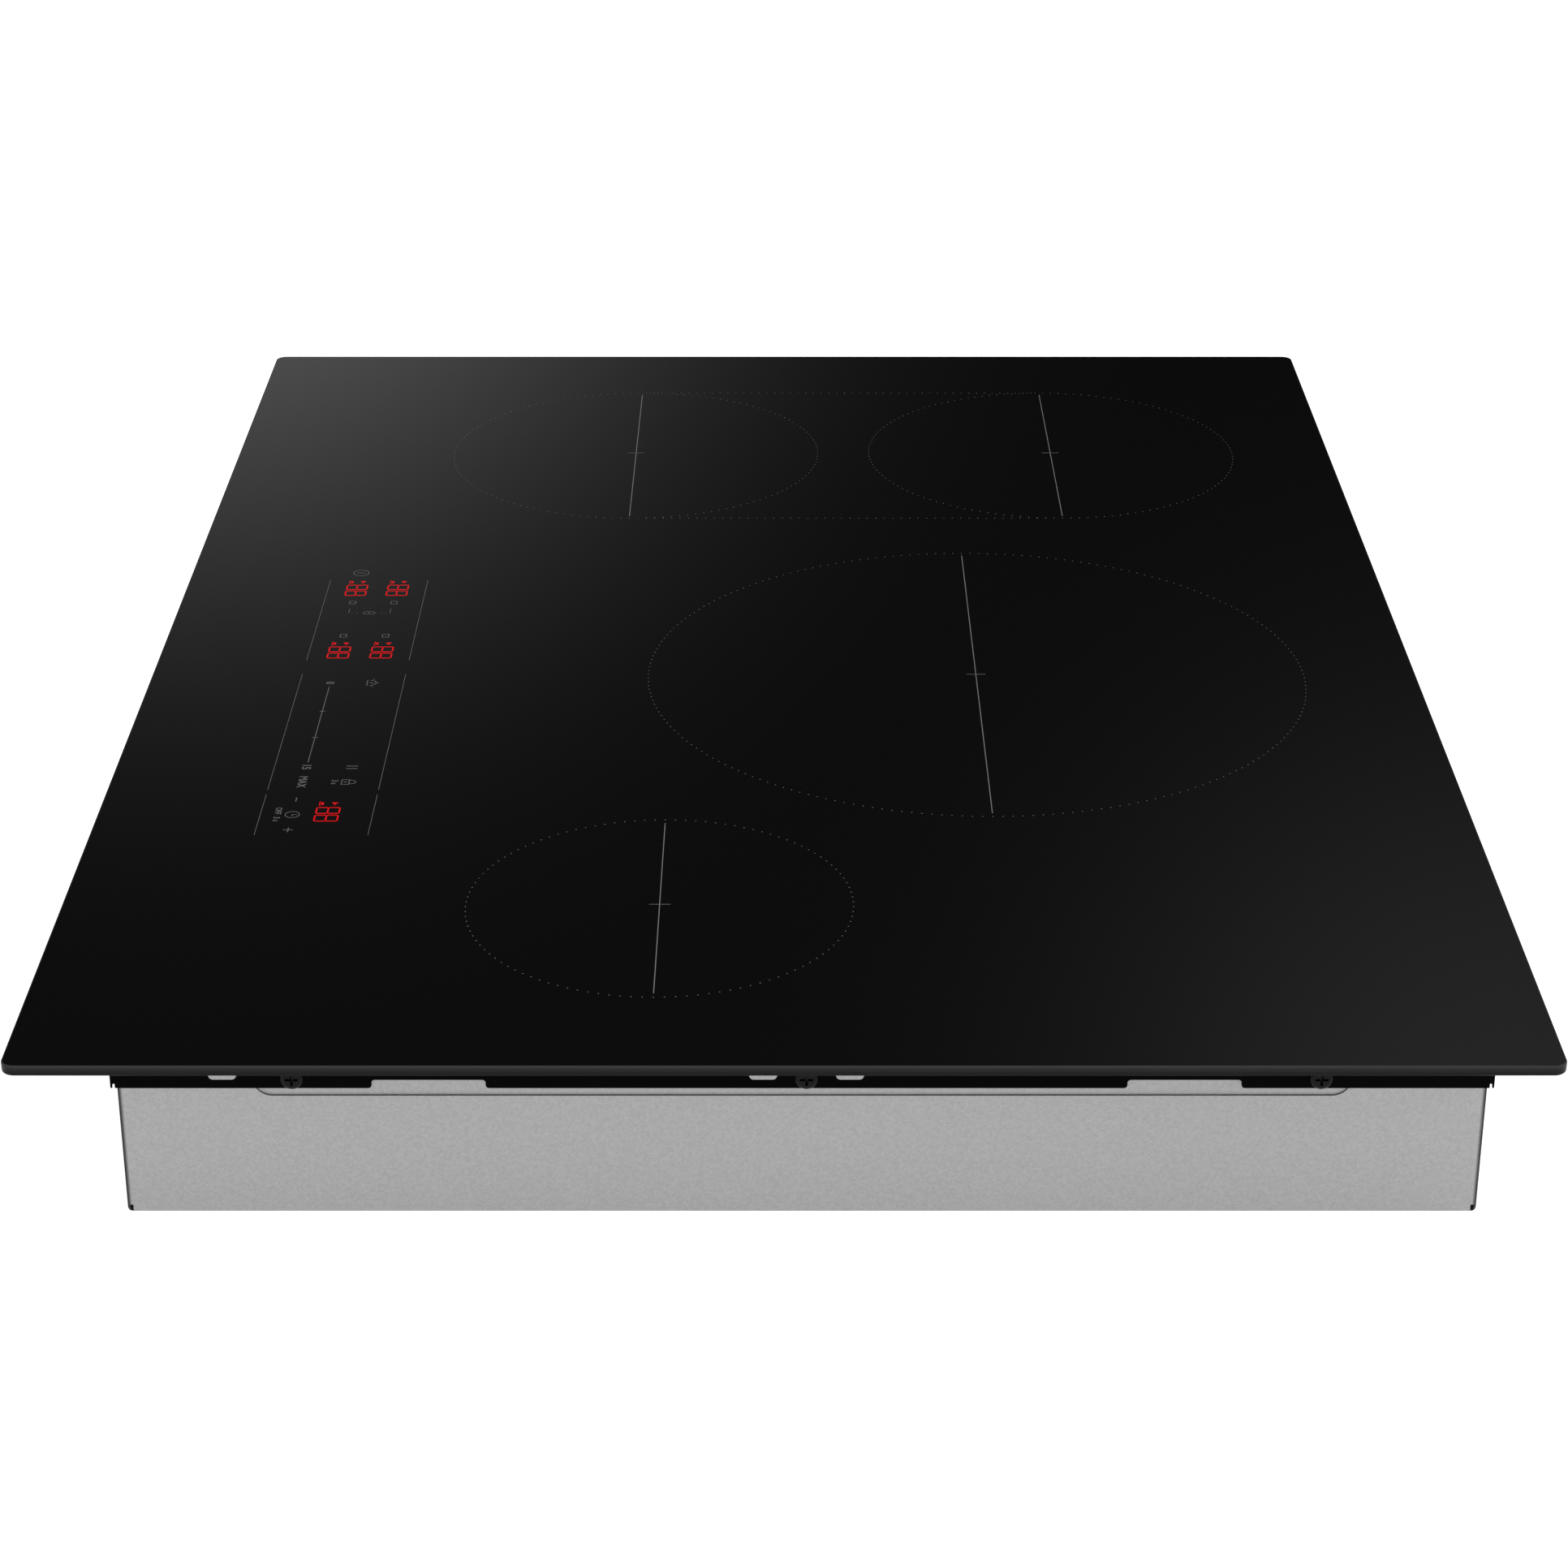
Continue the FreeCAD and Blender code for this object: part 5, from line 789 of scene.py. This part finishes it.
class COOKTOP_OT_panel_print(bpy.types.Operator):
    """Prints the control panel's lines and symbols"""

    bl_idname = "cooktop.panel_print"
    bl_label = "Panel print"

    def execute(self, context):
        own = context.scene.cooktop_print
        levels = ink_levels(context.scene)
        ink = found_material(enamel, "panel_grey_enamel", own.panel_ink)

        def line(points, weight=1.0, closed=False, width=own.stroke):
            spots = np.asarray(points, float)
            return band(panel(spots[:, 0], spots[:, 1]), width * weight, *levels, closed)

        def circle(x, y, radius, weight=1.0):
            return line(ring((x, y), radius, 32), weight, True)

        def frame_of(x, y, width, height, weight=1.0):
            a, b = width / 2, height / 2
            corners = [(x - a, y - b), (x + a, y - b), (x + a, y + b), (x - a, y + b)]
            return line(corners, weight, True)

        def dot(x, y, radius=0.3):
            spots = ring((x, y), radius, 12)
            return prisms(panel(spots[:, 0], spots[:, 1])[None], *levels)

        rules = [
            line([(start, y), (end, y)], width=own.rule)
            for start, end in ((22.2, 114.1), (129, 244.7), (249, 285.7))
            for y in (5.5, 49.7)
        ]
        piece("panel_rules", rules, ink)
        power = [circle(13.5, 18.5, 3.5), line([(13.5, 16.6), (13.5, 20.4)], 1.2)]
        piece("power_sign", power, ink)
        boxes = [frame_of(x, y, 3.2, 2.7) for x in (48.9, 86.95) for y in (18.4, 36.9)]
        piece("zone_key_signs", boxes, ink)
        joined = [line([(56, y), (61, y)], 0.7) for y in (17.9, 36.2)]
        joined += [dot(61, y, 0.22) for y in (19.5, 21.5, 32.6, 34.6)]
        loop = np.concatenate([
            arc((60.9, 28.2), 1.4, 0, 180, 9), arc((60.9, 25.8), 1.4, 180, 360, 9)])
        joined += [line(loop, 0.9, True), line([(59.8, 27), (62, 27)], 0.8)]
        piece("joined_zone_sign", joined, ink)
        dome = arc((138.4, 35.3), 2.7, 0, 180, 17)
        warm = [
            line([(135.6, 34.2), (141.2, 34.2)], 1.2), line(dome),
            line([(138.4, 35.3), (138.4, 36.9)], 1.5), dot(138.4, 38.7, 0.35),
            *[line([(x, 36.4), (x + step, 37)], 0.8)
              for x, step in ((134.9, -0.7), (141.9, 0.7))],
        ]
        piece("keep_warm_sign", warm, ink)
        pause = [line([(x, 34.6), (x, 39.2)], 1.4) for x in (222.2, 224.6)]
        piece("pause_sign", pause, ink)
        shackle = np.concatenate([
            [(235.8, 37.3)], arc((237.4, 38.2), 1.6, 180, 0, 13), [(239, 37.3)]])
        lock = [
            frame_of(237.4, 35.7, 4.4, 3), line(shackle),
            line([(237.4, 35), (237.4, 36.4)], 1.4),
        ]
        piece("lock_sign", lock, ink)
        slider = [line([(142.9, 18.5), (218.7, 18.5)], 0.95)]
        slider += [line([(x, y), (x, y + 1)], 1.2)
                   for x in (167.9, 194.3) for y in (18.7, 17.3)]
        piece("slider_rule", slider, ink)
        clock = [
            circle(267.4, 18.1, 2.8), line([(267.4, 20), (267.4, 18.1), (268.9, 18.1)])]
        piece("timer_sign", clock, ink)
        steps = [
            line([(251.8, 18), (255.4, 18)], 1.2), line([(279.2, 18.1), (283, 18.1)], 1.2),
            line([(281.1, 16.2), (281.1, 17.9)], 1.2), line([(281.1, 18.3), (281.1, 20)], 1.2),
        ]
        piece("timer_step_signs", steps, ink)
        words = [
            ("0", 3.7, 138.4, 18.5), ("15", 3.7, 223.3, 18.5), ("MAX", 3.5, 237.3, 18.5),
            ("3 s", 2.6, 237.4, 31.4), ("OFF  3 s", 2.6, 267.2, 12.3),
        ]
        parts = [
            lettering(word, height * MM, panel(x, y), *levels, 0.012)
            for word, height, x, y in words
        ]
        piece("panel_figures", parts, ink)
        return {"FINISHED"}


class COOKTOP_OT_displays(bpy.types.Operator):
    """Makes the lit red figures and their small signs"""

    bl_idname = "cooktop.displays"
    bl_label = "Red displays"

    def execute(self, context):
        own = context.scene.cooktop_display
        levels = ink_levels(context.scene)
        red = found_material(lit_red, "red_led_light", own)
        half_width, half_height = (own.width - own.stroke) / 2, (own.height - own.stroke) / 2
        thick = own.stroke / 2

        def bar(start, end):
            """A lit bar: a long hexagon whose pointed ends meet the next bars' ends."""
            start, end = np.array(start), np.array(end)
            along = (end - start) / np.linalg.norm(end - start)
            across = np.array([-along[1], along[0]]) * thick
            first, last = start + along * BAR_GAP, end - along * BAR_GAP
            body = along * thick
            return np.array([
                first, first + body - across, last - body - across,
                last, last - body + across, first + body + across])

        w, h = half_width, half_height
        bars = np.array([
            bar(*ends) for ends in (
                ((-w, h), (w, h)), ((-w, 0), (w, 0)), ((-w, -h), (w, -h)),
                ((-w, 0), (-w, h)), ((w, 0), (w, h)), ((-w, -h), (-w, 0)), ((w, -h), (w, 0)))
        ])
        play = np.array([(-1.1, -1.3), (1.3, 0), (-1.1, 1.3)]) * MM
        pan = [
            np.array([(-1.9, -1.1), (1.9, -1.1), (1.9, -0.7), (-1.9, -0.7)]) * MM,
            np.array([(-1.3, -0.3), (1.3, -0.3), (1, 0.7), (-1, 0.7)]) * MM,
        ]
        signs = {
            "front_left": (34.3, 18.5), "rear_left": (34.3, 37),
            "front_right": (105.5, 18.5), "rear_right": (105.5, 37), "timer": (267.1, 31.7),
        }
        for name, (x, y) in signs.items():
            middle = panel(x, y)
            figures = [
                prisms(bars + middle + (side * own.step / 2, 0), *levels) for side in (-1, 1)]
            figures.append(prisms([play + middle + (-SIGN_BACK, PLAY_UP)], *levels))
            figures += [
                prisms([part + middle - (SIGN_BACK, PAN_DOWN)], *levels) for part in pan]
            piece(f"lit_figures_{name}", figures, red)
        return {"FINISHED"}


class COOKTOP_OT_housing_finish(bpy.types.Operator):
    """Gives the steel case and the circuit boards their own finishes"""

    bl_idname = "cooktop.housing_finish"
    bl_label = "Case and boards"

    def execute(self, context):
        assign({"galvanised": galvanised_sheet(), "green_board": circuit_board()})
        return {"FINISHED"}


class COOKTOP_OT_part_finishes(bpy.types.Operator):
    """Gives the frame, coils, blowers and small parts their finishes"""

    bl_idname = "cooktop.part_finishes"
    bl_label = "Other parts"

    def execute(self, context):
        made = {}
        for slot, given in PLAIN_FINISHES.items():
            given = dict(given)
            made[slot] = grained(*given.pop("args"), **given)
        assign(made)
        return {"FINISHED"}


def assign(finishes):
    """Puts each finish on the CAD nodes whose record slot has its name."""
    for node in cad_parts.values():
        for place in node.material_slots:
            slot = place.material.name if place.material else ""
            if slot in finishes:
                place.material = finishes[slot]


class COOKTOP_OT_stage(bpy.types.Operator):
    """Sets up the pale floor, the soft light and the camera"""

    bl_idname = "cooktop.stage"
    bl_label = "Studio"

    def execute(self, context):
        own = context.scene.cooktop_studio
        scene = context.scene
        scene.view_settings.view_transform = "Standard"
        reach, under = FLOOR_REACH, -FLOOR_PLAY
        mesh = bpy.data.meshes.new("floor")
        square = [(-reach, -reach, under), (reach, -reach, under), (reach, reach, under),
                  (-reach, reach, under)]
        mesh.from_pydata(square, [], [(0, 1, 2, 3)])
        # Light table: matt opal sheet lit from beneath, evenly, so that shadows stay faint.
        material, tree, surface = shader(
            "opal_light_table",
            {"Roughness": 0.9, "Specular IOR Level": 0.0, "Emission Strength": own.table,
             "Emission Color": (1, 1, 1, 1)})
        place = add(tree, "ShaderNodeTexCoord")
        cloud = add(tree, "ShaderNodeTexNoise", {"Scale": 2.0}, {"Vector": (place, "Object")})
        mixed = add(
            tree, "ShaderNodeMix",
            {"data_type": "RGBA", 6: shaded(own.floor_tone, 0.98), 7: shaded(own.floor_tone)},
            {"Factor": (cloud, 0)},
        )
        tree.links.new(mixed.outputs[2], surface.inputs["Base Color"])
        mesh.materials.append(material)
        floor = bpy.data.objects.new("floor", mesh)
        scene.collection.objects.link(floor)

        soft = bpy.data.lights.new("overhead_soft_light", "AREA")
        soft.size, soft.energy = SOFT_SIZE, own.overhead
        overhead = bpy.data.objects.new("overhead_soft_light", soft)
        overhead.location = (0, 0, SOFT_HEIGHT)
        overhead.visible_glossy = overhead.visible_camera = False
        scene.collection.objects.link(overhead)

        self.room(scene, own)

        lens = bpy.data.cameras.new("studio_camera")
        lens.lens, lens.sensor_width, lens.clip_end = own.lens, 36, 200
        camera = bpy.data.objects.new("studio_camera", lens)
        camera.location = (own.distance, 0, own.height)
        camera.rotation_euler = (math.pi / 2 - own.pitch, 0, math.pi / 2)
        scene.collection.objects.link(camera)
        scene.camera = camera
        return {"FINISHED"}

    def room(self, scene, own):
        """An even pale room that sends more light from its rear side, its strength a
        straight line in Y. What polished faces mirror is a dark room with two soft
        glows: a lobe's brightness is its peak times a power of how far the direction
        lies inside its cone, counted from zero at the rim to one on the axis."""
        world = bpy.data.worlds.new("studio_room")
        world.use_nodes = True
        tree = world.node_tree
        tree.nodes.clear()
        way = add(tree, "ShaderNodeTexCoord")
        # Peak, half angle, fall-off, bearing to the right of the far end, and height.
        glows = ((0.49, 23.5, 12, -9.6, 14.7), (0.175, 20.5, 11, 13.1, 31.1))
        total = None
        for peak, cone, fall, bearing, rise in glows:
            bearing, rise, cone = (math.radians(a) for a in (bearing, rise, cone))
            axis = (-math.cos(bearing) * math.cos(rise), math.sin(bearing) * math.cos(rise),
                    math.sin(rise))
            near = add(tree, "ShaderNodeVectorMath", {"operation": "DOT_PRODUCT", 1: axis},
                       {0: (way, "Generated")})
            inside = add(tree, "ShaderNodeMapRange", {"From Min": math.cos(cone)},
                         {"Value": (near, "Value")})
            soft = add(tree, "ShaderNodeMath", {"operation": "POWER", 1: fall},
                       {0: (inside, 0)})
            total = add(
                tree, "ShaderNodeMath", {"operation": "MULTIPLY_ADD", 1: peak, 2: DARK_ROOM},
                {0: (soft, 0), **({2: (total, 0)} if total else {})})
        ray = add(tree, "ShaderNodeLightPath")
        side = add(tree, "ShaderNodeSeparateXYZ", links={0: (way, "Generated")})
        slope = add(tree, "ShaderNodeMath",
                    {"operation": "MULTIPLY_ADD", 1: own.ambient * own.side_light, 2: own.ambient},
                    {0: (side, "Y")})
        fill = add(tree, "ShaderNodeMix", {"data_type": "FLOAT", 2: own.ambient},
                   {0: (ray, "Is Diffuse Ray"), 3: (slope, 0)})
        seen = add(tree, "ShaderNodeMix", {"data_type": "FLOAT"},
                   {0: (ray, "Is Glossy Ray"), 2: (fill, 0), 3: (total, 0)})
        sky = add(tree, "ShaderNodeBackground", links={"Color": (seen, 0)})
        add(tree, "ShaderNodeOutputWorld", links={"Surface": (sky, 0)})
        scene.world = world


OPERATORS = (
    COOKTOP_OT_glass,
    COOKTOP_OT_zone_print,
    COOKTOP_OT_panel_print,
    COOKTOP_OT_displays,
    COOKTOP_OT_housing_finish,
    COOKTOP_OT_part_finishes,
    COOKTOP_OT_stage,
)


class COOKTOP_PT_panel(bpy.types.Panel):
    """Lists the cooktop's operators and settings"""

    bl_idname = "COOKTOP_PT_panel"
    bl_label = "Induction cooktop"
    bl_space_type = "VIEW_3D"
    bl_region_type = "UI"
    bl_category = "Cooktop"

    def draw(self, context):
        for operator in OPERATORS:
            self.layout.operator(operator.bl_idname)
        for name, group in SETTINGS.items():
            box = self.layout.box()
            for setting in group.__annotations__:
                box.prop(getattr(context.scene, name), setting)


CLASSES = (*SETTINGS.values(), *OPERATORS, COOKTOP_PT_panel)


def register():
    """Registers the classes and hangs the settings on the scene."""
    for each in CLASSES:
        bpy.utils.register_class(each)
    for name, group in SETTINGS.items():
        setattr(bpy.types.Scene, name, bpy.props.PointerProperty(type=group))


def unregister():
    """Takes the settings off the scene and unregisters the classes."""
    for name in SETTINGS:
        delattr(bpy.types.Scene, name)
    for each in reversed(CLASSES):
        bpy.utils.unregister_class(each)


def main():
    """Makes the whole scene."""
    register()
    for operator in OPERATORS:
        area, name = operator.bl_idname.split(".")
        getattr(getattr(bpy.ops, area), name)()


if __name__ == "__main__":
    main()
